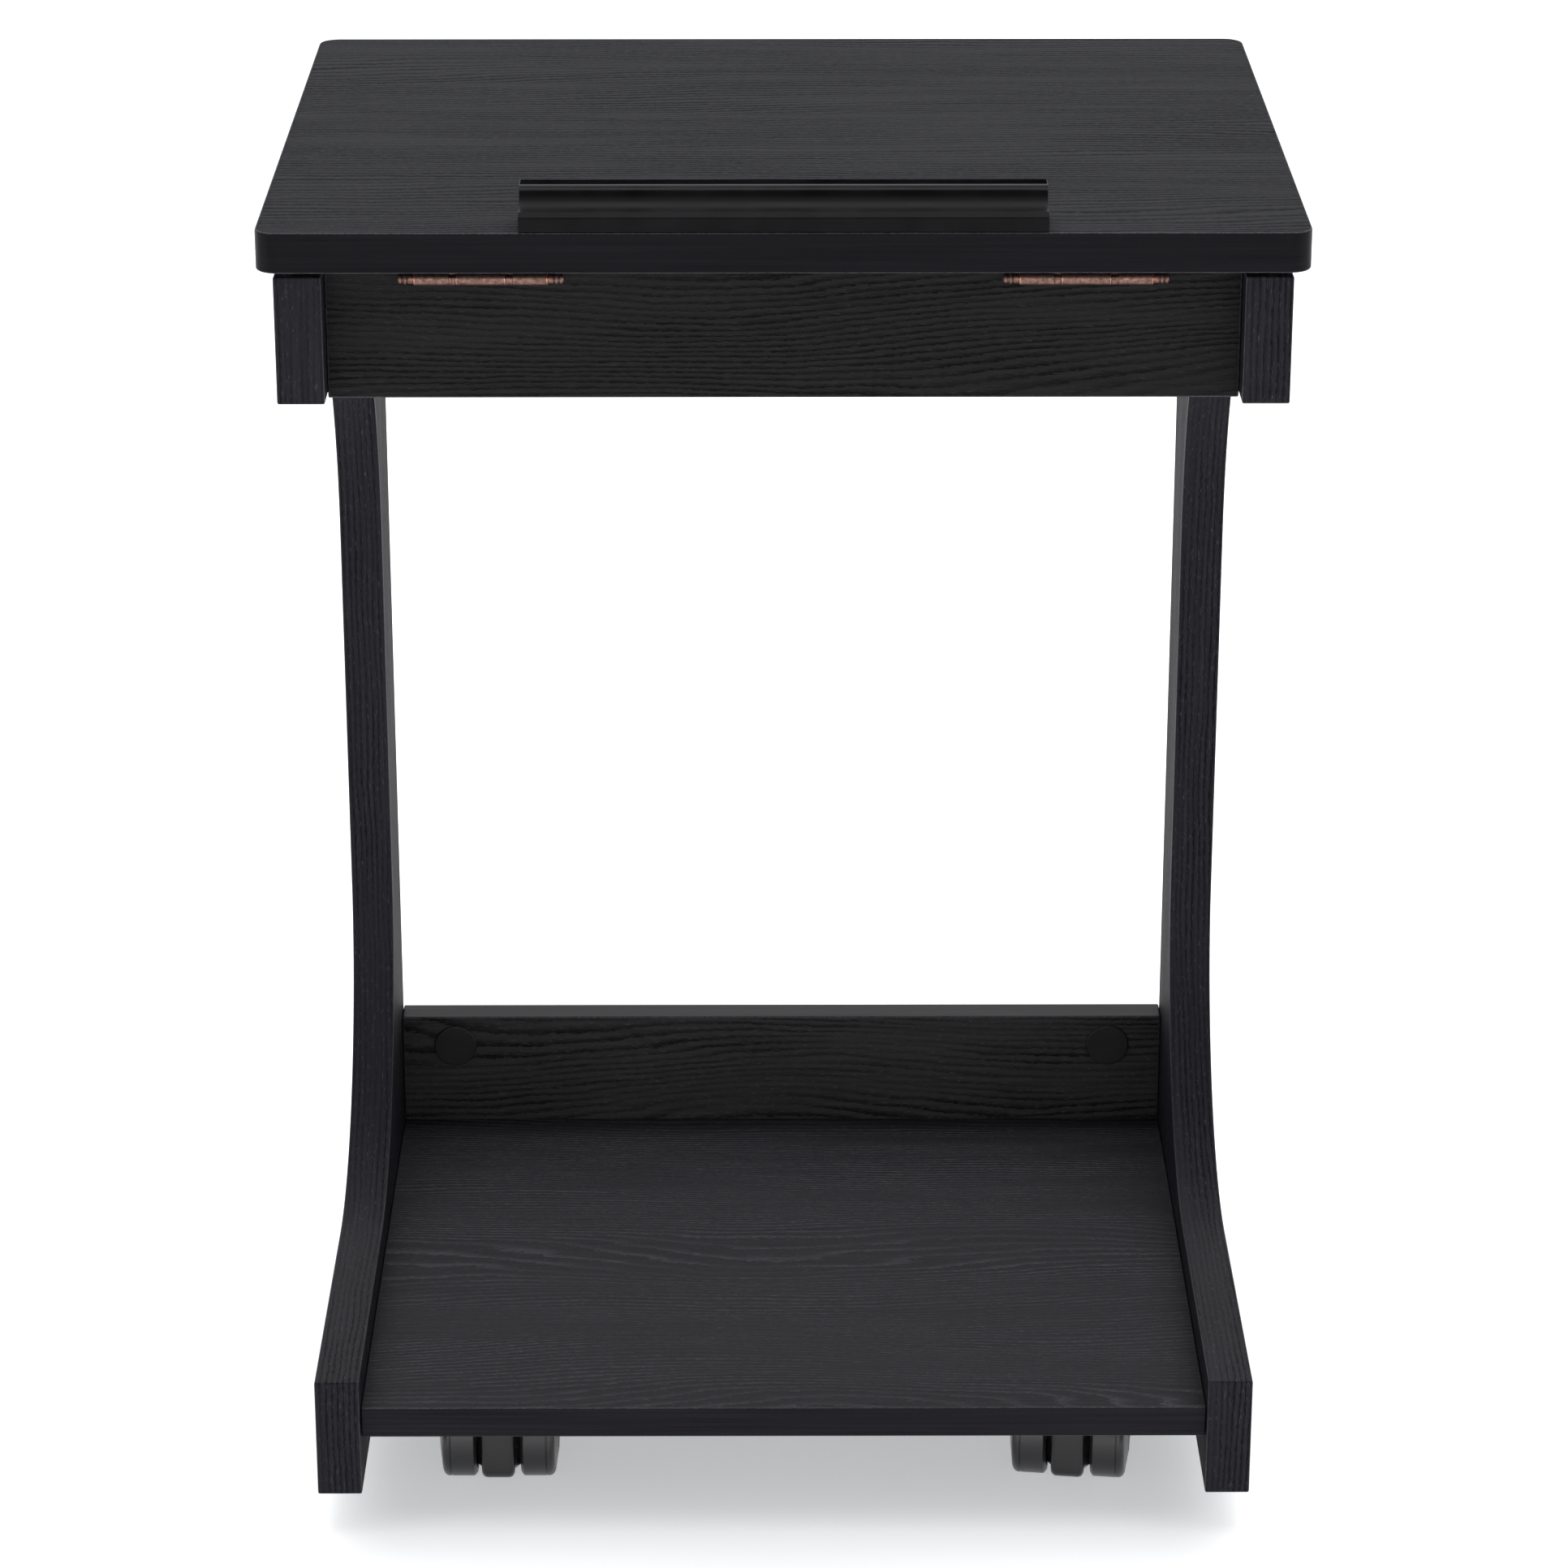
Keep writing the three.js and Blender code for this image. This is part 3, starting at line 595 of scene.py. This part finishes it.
def panel_outline(low, high):
    """The C in (y, z): a straight back, a foot, an arm, and a sweep from each into the post."""
    post = high.y - POST_DEPTH
    arm_under = high.z - ARM_HEIGHT
    foot_top = low.z + FOOT_HEIGHT
    return [
        (low.y, low.z), (high.y, low.z), (high.y, high.z), (low.y, high.z), (low.y, arm_under),
        *arc((post - UPPER_SWEEP, arm_under - UPPER_SWEEP), UPPER_SWEEP, 90, 0, 40),
        *arc((post - LOWER_SWEEP, foot_top + LOWER_SWEEP), LOWER_SWEEP, 0, -90, 36),
        (low.y, foot_top),
    ]


def nearest_run(outline, point):
    """How far along the outline the nearest spot to a point is."""
    best, run, found = None, 0.0, 0.0
    for first, second in zip(outline, outline[1:] + outline[:1]):
        a, b = Vector(first), Vector(second)
        span = b - a
        share = max(0.0, min(1.0, (point - a).dot(span) / span.length_squared))
        gap = (a + span * share - point).length_squared
        if best is None or gap < best:
            best, found = gap, run + span.length * share
        run += span.length
    return found


def lay_rim_grain(mesh, outline, shift):
    """The grain of the edge banding follows the outline round the panel."""
    layer = mesh.loops.layers.uv["grain"]
    for face in mesh.faces:
        if face.material_index != 1:
            continue
        middle = face.calc_center_median()
        base = nearest_run(outline, Vector((middle.y, middle.z)))
        for loop in face.loops:
            place = loop.vert.co
            run = nearest_run(outline, Vector((place.y, place.z)))
            if abs(run - base) > SEAM:
                run = base
            loop[layer].uv = (run + shift, place.x)


def make_side_panel(word):
    side = SIDES[word]
    low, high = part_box(f"side_panel_{word}")
    outline = panel_outline(low, high)
    mesh = prism(outline, low.x, high.x, "X", bevel=1.0 * MM, segments=3)
    lay_grain(mesh, "Z", (0.4 * side, 0.25 * side))
    mark_edges(mesh, "X")
    lay_rim_grain(mesh, outline, 0.7 * side)
    piece(f"side_panel_{word}_board", mesh, [PANEL_LAMINATE, PANEL_EDGE, ARRIS_HIGHLIGHT], "frame",
          [f"side_panel_{word}"])


def make_board(node, faces, edges, facing, shift):
    low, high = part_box(node)
    mesh = slab(low, high, bevel=0.8 * MM, segments=3)
    lay_grain(mesh, "X", shift)
    mark_edges(mesh, facing)
    piece(f"{node}_board", mesh, [faces, edges, ARRIS_HIGHLIGHT], "frame", [node])


def make_boards():
    make_board("front_apron", RAIL_LAMINATE, EDGE_BAND, "Y", (0.1, 0.3))
    make_board("rear_top_rail", REAR_RAIL_LIT_LAMINATE, EDGE_BAND, "Y", (1.7, 0.9))
    make_board("rear_base_rail", REAR_RAIL_LIT_LAMINATE, EDGE_BAND, "Y", (0.9, 1.6))
    make_board("base_shelf", SHELF_LAMINATE, SHELF_BAND, "Z", (0.2, 0.5))


def make_rail_cap(word):
    """A flat cap with a soft rim over a cam lock. The lock keeps its CAD shape and gets a zinc finish."""
    low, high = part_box(f"rail_cap_{word}")
    centre = (low + high) / 2
    radius, thick = (high.x - low.x) / 2, high.y - low.y
    rim = 0.5 * thick
    profile = [(0, 0), (radius, 0), *arc((radius - rim, -rim), rim, 0, -90, 4), (0, -thick)]
    matrix = Matrix.Translation((centre.x, high.y, centre.z))
    piece(f"rail_cap_{word}_disc", turned(profile, 48, "Y"), [CAP_PLASTIC], "frame",
          [f"rail_cap_{word}"], matrix, sharp=50)
    lock = frame["nodes"][f"cam_lock_{word}"].data
    lock.materials.clear()
    lock.materials.append(ZINC)


def make_bumper(where, word):
    """A small rubber pad with a round crown, on an arm."""
    node = f"bumper_{where}_{word}"
    low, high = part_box(node)
    centre = (low + high) / 2
    radius, tall = (high.x - low.x) / 2, high.z - low.z
    crown = oval((0, 0.7 * tall), (0.86 * radius, 0.3 * tall), 0, 90, 6)
    profile = [(0, 0), (radius, 0), (radius, tall * 0.2), *crown[:-1], (0, tall)]
    piece(f"{node}_pad", turned(profile, 28, "Z"), [RUBBER], "frame", [node],
          Matrix.Translation((centre.x, centre.y, low.z)), sharp=50)


# ---------------------------------------------------------------- hinges

BARREL_RADIUS = 3.25 * MM
LEAF_THICK = 1.2 * MM
LEAF_BEND = 1.0 * MM               # radius where a leaf turns down into its barrel
MIDDLE_KNUCKLE = 23.5 * MM
KNUCKLE_SPLIT = 0.25 * MM
NOTCH = 3.2 * MM                   # length of the cut beside the middle knuckle
NOTCH_ANGLE = 152                  # where the cut ends on the barrel's round, in degrees
LEAF_SCREW_SPREAD = 20 * MM        # from the hinge's middle
LEAF_SCREW_INSET = 7 * MM          # from the leaf's free edge


def leaf_section(axis, leaf_top, leaf_end, notched):
    """A leaf's section in (y, z): a plate, a bend down, and a barrel rolled round the pin.

    A notched section has the upper front of its barrel cut away."""
    strip = axis.y + BARREL_RADIUS
    if notched:
        barrel_from, steps = NOTCH_ANGLE, 24
        cut_z = axis.z + BARREL_RADIUS * math.sin(math.radians(NOTCH_ANGLE))
        cut = [(strip - LEAF_THICK, cut_z)]
    else:
        barrel_from, steps = math.degrees(math.acos((BARREL_RADIUS - LEAF_THICK) / BARREL_RADIUS)), 34
        cut = []
    return [
        (leaf_end, leaf_top - LEAF_THICK), (leaf_end, leaf_top),
        *arc((strip - LEAF_THICK + LEAF_BEND, leaf_top - LEAF_BEND), LEAF_BEND, 90, 180, 5),
        *cut,
        *arc((axis.y, axis.z), BARREL_RADIUS, barrel_from, 360, steps),
        (strip, leaf_top - LEAF_THICK),
    ]


def bright_ends(mesh, stations, reach):
    """The corners of each knuckle are rubbed bright."""
    for face in mesh.faces:
        middle = face.calc_center_median()
        if any(abs(middle.x - station) < reach for station in stations):
            face.material_index = 1


def make_leaf(name, node, body, axis, knuckles, notches, gaps, rubbed):
    """One leaf of a hinge. The lists hold ranges of X, from the hinge's middle, with a whole knuckle,
    with a notched one and with only the plate. rubbed holds the places where the knuckles are bright."""
    low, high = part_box(node)
    x, leaf_top, leaf_end = (low.x + high.x) / 2, high.z, high.y
    meshes = []
    stations = [x + place for place in rubbed]
    for notched, spans in ((False, knuckles), (True, notches)):
        outline = leaf_section(axis, leaf_top, leaf_end, notched)
        for start, end in spans:
            mesh = prism(outline, x + start, x + end, "X", bevel=0.3 * MM, segments=2)
            bright_ends(mesh, stations, 0.31 * MM)
            meshes.append(mesh)
    plate_front = axis.y + BARREL_RADIUS + 0.9 * MM
    for start, end in gaps:
        meshes.append(slab((x + start, plate_front, leaf_top - LEAF_THICK), (x + end, leaf_end, leaf_top)))
    piece(name, merged(*meshes), [COPPER, COPPER_BRIGHT], body, [node], sharp=30)


def finial(half):
    """Half of the pin's outline, from the barrel's end to the tip: a neck, a bead and a button.

    The sizes are in millimetres, and the places along the pin start at the barrel's end."""
    neck = [(1.7, 0.3), (2.35, 0.3), (2.5, 0.45), (2.5, 2.7), (2.35, 2.9), (2.0, 3.2)]
    bead = [(2.45, 3.7), (2.75, 4.1), (2.75, 4.7), (2.45, 5.0), (2.05, 5.3)]
    button = arc((1.6, 6.5), 0.9, -90, 0, 4)[1:]
    tip = oval((0, 6.5), (2.5, 1.7), 0, 90, 6)[1:-1]
    profile = (*neck, *bead, *button, *tip, (0, 8.2))
    return [(radius * MM, half + along * MM) for radius, along in profile]


def make_leaf_screws(word, body, x, y, face, way):
    """Two screws let into a leaf, their crowns just proud of the face at this height. way is up or
    down, +1 or -1: it is where that face looks."""
    size, proud = 0.8, 0.25 * MM
    seat = face - way * (SCREW_HEIGHT * size - proud)
    for index, step in enumerate((-1, 1), 1):
        place = Vector((x + step * LEAF_SCREW_SPREAD, y, seat))
        screw(f"hinge_{word}_{body}_screw_{index}", place, (0, 0, way), body, COPPER, size)


def make_hinge(word):
    axis = Vector(JOINTS["top_tilt"]["pos_m"])
    top_low, top_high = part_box(f"hinge_{word}_top_leaf")
    apron_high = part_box(f"hinge_{word}_apron_leaf")[1]
    x, half = (top_low.x + top_high.x) / 2, (top_high.x - top_low.x) / 2
    middle = MIDDLE_KNUCKLE / 2
    make_leaf(f"hinge_{word}_upper_leaf", f"hinge_{word}_top_leaf", "top", axis,
              knuckles=[(-middle, middle)], notches=[],
              gaps=[(-half, -middle), (middle, half)], rubbed=(-middle, middle))
    make_leaf_screws(word, "top", x, top_high.y - LEAF_SCREW_INSET, top_high.z - LEAF_THICK, -1)
    outer = middle + KNUCKLE_SPLIT
    make_leaf(f"hinge_{word}_lower_leaf", f"hinge_{word}_apron_leaf", "frame", axis,
              knuckles=[(-half, -outer - NOTCH), (outer + NOTCH, half)],
              notches=[(-outer - NOTCH, -outer), (outer, outer + NOTCH)],
              gaps=[(-outer, outer)], rubbed=(-half, half))
    make_leaf_screws(word, "frame", x, apron_high.y - LEAF_SCREW_INSET, apron_high.z, 1)
    end = finial(half)
    mirrored = [(radius, -along) for radius, along in reversed(end)]
    pin = turned([*mirrored, *end], 28, "X")
    shoulder, reach = half + 0.4 * MM, 0.12 * MM
    for face in pin.faces:
        if abs(abs(face.calc_center_median().x) - shoulder) < reach:
            face.material_index = 1
    piece(f"hinge_{word}_finial_pin", pin, [COPPER, COPPER_BRIGHT], "frame",
          [f"hinge_{word}_pin"], Matrix.Translation((x, axis.y, axis.z)), sharp=40)


# ---------------------------------------------------------------- tilt prop

PROP_RADIUS = 3.0 * MM
PROP_BEND = 9.0 * MM
PROP_LEG_X = 192 * MM
PROP_PIVOT_X = 181 * MM


def bent_rod(name, corners, bend, radius):
    """A round rod through corners, each rounded to the same bend."""
    points = []
    for index, corner in enumerate(corners):
        here = Vector(corner)
        if index in (0, len(corners) - 1):
            points.append(here)
            continue
        before, after = Vector(corners[index - 1]), Vector(corners[index + 1])
        start = here + (before - here).normalized() * bend
        end = here + (after - here).normalized() * bend
        points += bent(start, here, end, 8)
    curve = bpy.data.curves.new(name, "CURVE")
    curve.dimensions = "3D"
    curve.bevel_depth = radius
    curve.bevel_resolution = 5
    curve.use_fill_caps = True
    line = curve.splines.new("POLY")
    line.points.add(len(points) - 1)
    for point, place in zip(line.points, points):
        point.co = (*place, 1)
    holder = linked(f"{name}_curve", curve)
    bpy.context.view_layer.update()
    data = bpy.data.meshes.new_from_object(holder.evaluated_get(bpy.context.evaluated_depsgraph_get()))
    bpy.data.objects.remove(holder)
    mesh = bmesh.new()
    mesh.from_mesh(data)
    bmesh.ops.remove_doubles(mesh, verts=mesh.verts, dist=1e-6)
    return mesh


def make_prop():
    low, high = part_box("prop_bail")
    level = (low.z + high.z) / 2
    pivot_y, foot_y = low.y + PROP_RADIUS, high.y - PROP_RADIUS
    legs = []
    for word, side in SIDES.items():
        corners = [
            (side * PROP_PIVOT_X, pivot_y, level),
            (side * PROP_LEG_X, pivot_y, level),
            (side * PROP_LEG_X, foot_y, level),
        ]
        legs.append(bent_rod(f"prop_leg_{word}", corners, PROP_BEND, PROP_RADIUS))
    bar = chamfered_bar(PROP_RADIUS, high.x, 1.0 * MM, 20)
    moved(bar, Matrix.Translation((0, foot_y, level)))
    piece("prop_bent_rod", merged(*legs, bar), [POWDER_COAT], "prop", ["prop_bail"])


def make_prop_bracket(word):
    """A plate screwed under the top, with an ear that the prop's end turns in."""
    low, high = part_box(f"prop_bracket_{word}")
    pivot = Vector(JOINTS["prop_swing"]["pos_m"])
    x = (low.x + high.x) / 2
    thick, ear_half = 1.5 * MM, 1.25 * MM
    plate = slab((low.x, low.y, high.z - thick), (high.x, high.y, high.z), bevel=0.4 * MM, segments=2)
    ear_round = pivot.z - low.z
    ear = prism([
        (pivot.y + ear_round, high.z - thick * 0.5), (pivot.y - ear_round, high.z - thick * 0.5),
        *arc((pivot.y, pivot.z), ear_round, 180, 360, 24),
    ], x - ear_half, x + ear_half, "X", bevel=0.3 * MM, segments=2)
    piece(f"prop_bracket_{word}_folded", merged(plate, ear), [POWDER_COAT], "top",
          [f"prop_bracket_{word}"])
    for index in (1, 2):
        screw_into_top(f"bracket_fixing_{word}_{index}", f"bracket_screw_{word}_{index}")


TILT_STOPS = (0, 12, 18, 23, 28)   # degrees of the top


def make_rack(word):
    """The notched strip: one round notch where the foot bar stands at each tilt."""
    side = SIDES[word]
    low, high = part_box(f"prop_rack_{word}")
    hinge_y = JOINTS["top_tilt"]["pos_m"][1]
    reach = 2 * (JOINTS["prop_swing"]["pos_m"][1] - hinge_y)
    notch = 3.4 * MM
    outline = [(high.y, low.z), (high.y, high.z)]
    for tilt in TILT_STOPS:
        centre = hinge_y + reach * math.cos(math.radians(tilt))
        outline += arc((centre, high.z), notch, 0, -180, 10)
    outline += [(low.y, high.z), (low.y, low.z)]
    mesh = prism(outline, low.x, high.x, "X")
    sharp = [edge for edge in mesh.edges if edge.calc_face_angle(0) > math.radians(60) and across_x(edge)]
    bmesh.ops.bevel(mesh, geom=sharp, offset=0.3 * MM, segments=2, profile=0.5, affect="EDGES")
    piece(f"prop_rack_{word}_strip", mesh, [RACK_PLASTIC], "frame", [f"prop_rack_{word}"])
    for index in (1, 2):
        node = f"rack_screw_{word}_{index}"
        head_low, head_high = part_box(node)
        centre = (head_low + head_high) / 2
        seat = head_high.x - SCREW_HEIGHT if side < 0 else head_low.x + SCREW_HEIGHT
        far = head_low.x if side < 0 else head_high.x
        place = Vector((seat, centre.y, centre.z))
        screw(f"rack_fixing_{word}_{index}", place, (-side, 0, 0), "frame",
              shank=abs(far - seat), replaces=[node])


# ---------------------------------------------------------------- casters

WHEEL_SIDES = 56
WHEEL_WIDTH = 20 * MM
WHEEL_INNER = 11.7 * MM            # from the caster's middle to a wheel's inner face


def wheel_profile(radius):
    """From the hub on the inner face, over the tread and down the sloping outer face to the hub cap."""
    width = WHEEL_WIDTH
    shoulder_r, shoulder_w = 4.2 * MM, 3.7 * MM
    shoulder_at = width - 1.7 * MM - shoulder_w
    groove = shoulder_at - 1.3 * MM
    shoulder = oval((radius - shoulder_r, shoulder_at), (shoulder_r, shoulder_w), 0, 90, 8)
    cap = 9.5 * MM
    return [
        (0, 3.0 * MM), (6.0 * MM, 3.0 * MM), (6.0 * MM, 1.2 * MM), (8.0 * MM, 1.2 * MM),
        (8.0 * MM, 3.4 * MM), (radius - 4.0 * MM, 3.4 * MM), (radius - 4.0 * MM, 0.25 * MM),
        (radius - 3.6 * MM, 0.0), (radius - 2.0 * MM, 0.0), (radius - 0.4 * MM, 1.2 * MM),
        (radius, 1.9 * MM), (radius, groove), (radius - 0.3 * MM, groove + 0.25 * MM),
        (radius - 0.3 * MM, groove + 0.55 * MM), (radius, groove + 0.8 * MM),
        *shoulder,
        (cap + 1.4 * MM, width - 0.25 * MM), (cap + 1.0 * MM, width - 1.1 * MM),
        (cap + 0.2 * MM, width - 1.1 * MM), (cap - 0.2 * MM, width - 0.15 * MM),
        (4.8 * MM, width), (4.4 * MM, width - 0.8 * MM), (0, width - 0.8 * MM),
    ]


def make_wheel(name, word, matrix, body, radius):
    profile = [(r, SIDES[word] * (WHEEL_INNER + along)) for r, along in wheel_profile(radius)]
    mesh = turned(profile, WHEEL_SIDES, "X")
    node = f"{name}_wheel_{word}"
    piece(f"{node}_tyre", mesh, [WHEEL_PLASTIC], body, [node], matrix, sharp=32)


WEB_HALF = 8.7 * MM
WEB_TOE = 7 * MM
WEB_BOTTOM = 8.3 * MM
HUB_COVER_OUTER = 11.2 * MM
HUB_COVER_RADIUS = 21 * MM
HOOD_REAR = 40                     # degrees round the axle that the hood covers, from the rear
HOOD_FRONT = 128


def make_fork(name, matrix, body, trail, axle_z, top):
    """The web between the wheels with its hub covers, and the hood over them."""
    web = prism([
        (trail + 4 * MM, top), (-WEB_HALF, top),
        *arc((WEB_TOE - WEB_HALF, WEB_BOTTOM + WEB_TOE), WEB_TOE, 180, 270, 10),
        *arc((trail, axle_z), axle_z - WEB_BOTTOM, -90, 45, 20),
    ], -WEB_HALF, WEB_HALF, "X", bevel=3.2 * MM, segments=6)
    cover_face = HUB_COVER_RADIUS - 2.2 * MM
    cover = turned([
        (0, -HUB_COVER_OUTER), (cover_face, -HUB_COVER_OUTER),
        (HUB_COVER_RADIUS, -WEB_HALF), (HUB_COVER_RADIUS, WEB_HALF),
        (cover_face, HUB_COVER_OUTER), (0, HUB_COVER_OUTER),
    ], 48, "X")
    moved(cover, Matrix.Translation((0, trail, axle_z)))
    hood_inner, hood_outer = axle_z + 1.0 * MM, top - axle_z
    hood_half = WHEEL_INNER + WHEEL_WIDTH - 1.5 * MM
    hood = prism([
        *arc((trail, axle_z), hood_outer, HOOD_REAR, HOOD_FRONT, 26),
        *arc((trail, axle_z), hood_inner, HOOD_FRONT, HOOD_REAR, 26),
    ], -hood_half, hood_half, "X", bevel=0.7 * MM, segments=3)
    piece(f"{name}_fork_body", merged(web, cover, hood), [CASTER_PLASTIC], body,
          [f"{name}_fork"], matrix, sharp=35)
    axle = chamfered_bar(3 * MM, WHEEL_INNER + WHEEL_WIDTH - 5 * MM, 0.4 * MM, 24)
    moved(axle, Matrix.Translation((0, trail, axle_z)))
    piece(f"{name}_axle_rod", axle, [ZINC], body, [f"{name}_axle"], matrix)


def make_caster_plate(name, matrix, low, high):
    """The fixed plate with its four screws, a raised race and the kingpin."""
    half = (high.x - low.x) / 2
    under = high.z - 2.5 * MM
    plate = prism(rounded_rectangle(half, half, 4 * MM, 6), under, high.z, "Z", bevel=0.5 * MM, segments=2)
    race_low, race_high = under - 0.5 * MM, under + 0.1 * MM
    race = turned([(0, race_low), (10 * MM, race_low), (11.5 * MM, race_high), (0, race_high)], 36, "Z")
    kingpin = turned([(0, low.z), (3.4 * MM, low.z), (4 * MM, low.z + 0.6 * MM),
                      (4 * MM, under), (0, under)], 24, "Z")
    piece(f"{name}_plate_pressed", merged(plate, race, kingpin), [POWDER_COAT], "frame",
          [f"{name}_plate"], matrix)
    hole = half - 5.5 * MM
    size, proud = 0.85, 0.45 * MM
    seat = under + SCREW_HEIGHT * size - proud
    for index, (x, y) in enumerate(((-1, -1), (1, -1), (1, 1), (-1, 1)), 1):
        place = matrix @ Vector((x * hole, y * hole, seat))
        screw(f"{name}_plate_screw_{index}", place, (0, 0, -1), "frame", size=size)


def make_caster(where, word):
    name = f"caster_{where}_{word}"
    swivel = JOINTS[f"{where}_{word}_swivel"]
    spin = JOINTS[f"{where}_{word}_left_wheel_spin"]
    kingpin = Vector(swivel["pos_m"])
    axle = Vector(spin["pos_m"])
    yaw = math.atan2(spin["axis"][1], spin["axis"][0])
    trail = math.hypot(axle.x - kingpin.x, axle.y - kingpin.y)
    turned_to = Matrix.Translation((kingpin.x, kingpin.y, 0)) @ Matrix.Rotation(yaw, 4, "Z")
    plate_low, plate_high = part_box(f"{name}_plate")
    fork_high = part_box(f"{name}_fork")[1]
    make_caster_plate(name, Matrix.Translation((kingpin.x, kingpin.y, 0)), plate_low, plate_high)
    make_fork(name, turned_to, f"{where}_{word}_swivel", trail, axle.z, fork_high.z)
    at_axle = turned_to @ Matrix.Translation((0, trail, axle.z))
    for wheel in SIDES:
        make_wheel(name, wheel, at_axle, f"{where}_{word}_{wheel}_wheel", axle.z)


# ---------------------------------------------------------------- stage

def backdrop(name, mesh, material):
    made = linked(name, mesh_data(name, mesh))
    made.data.materials.append(material)


def make_backdrops():
    """A wide floor, and a low round wall far away that closes it off at the horizon."""
    reach, wall_height, thick = 20, 3.6, 0.02
    backdrop("studio_floor", slab((-reach, -reach, -thick), (reach, reach, 0)), FLOOR_PAINT)
    inner, outer = reach - 1.0, reach - 0.9
    section = [(inner, 0.01), (outer, 0.01), (outer, wall_height), (inner, wall_height), (inner, 0.01)]
    backdrop("studio_wall", turned(section, 96, "Z"), WALL_PAINT)


def area_light(name, place, target, width, height, power):
    light = bpy.data.lights.new(name, "AREA")
    light.shape = "RECTANGLE"
    light.size = width
    light.size_y = height
    light.energy = power
    holder = linked(name, light)
    holder.location = place
    holder.rotation_euler = (Vector(target) - Vector(place)).to_track_quat("-Z", "Y").to_euler()


def make_studio():
    world = bpy.data.worlds.new("studio_world")
    scene.world = world
    world.use_nodes = True
    sky = world.node_tree.nodes["Background"]
    sky.inputs["Color"].default_value = (0.94, 0.96, 1.0, 1)
    sky.inputs["Strength"].default_value = 0.25
    middle = (0, 0, 0.4)
    area_light("overhead_softbox", (0, 0.9, 3.0), middle, 2.4, 1.6, 22)
    area_light("rear_softbox", (0, 2.4, 2.2), (0, 0.1, 0.1), 2.4, 0.7, 3.5)
    area_light("front_softbox", (0, -3.6, 1.0), (0, 0, 0.35), 3.0, 1.4, 12.5)
    area_light("left_strip", (-2.4, -1.2, 1.1), (0, -0.1, 0.5), 0.7, 2.2, 8)
    area_light("right_strip", (2.4, -1.2, 1.1), (0, -0.1, 0.5), 0.7, 2.2, 8)
    wash = bpy.data.lights.new("ceiling_wash", "SUN")
    wash.energy = 2.85
    wash.angle = math.radians(105)
    holder = linked("ceiling_wash", wash)
    holder.rotation_euler = (math.radians(-26), 0, 0)


def make_camera():
    """In front of the table, above its top and looking down at it."""
    lens = bpy.data.cameras.new("camera")
    lens.sensor_width = 36
    lens.lens = 117.5
    camera = linked("camera", lens)
    camera.location = (-0.008, -2.537, 1.340)
    pitch_down, turn = 21.36, -0.2
    camera.rotation_euler = (math.radians(90 - pitch_down), 0, math.radians(turn))
    scene.camera = camera


make_camera()
make_studio()
make_backdrops()
make_tabletop()
make_ledge()
make_boards()
make_prop()
for word in SIDES:
    make_side_panel(word)
    make_rail_cap(word)
    make_hinge(word)
    make_prop_bracket(word)
    make_rack(word)
    for where in ("front", "rear"):
        make_bumper(where, word)
        make_caster(where, word)
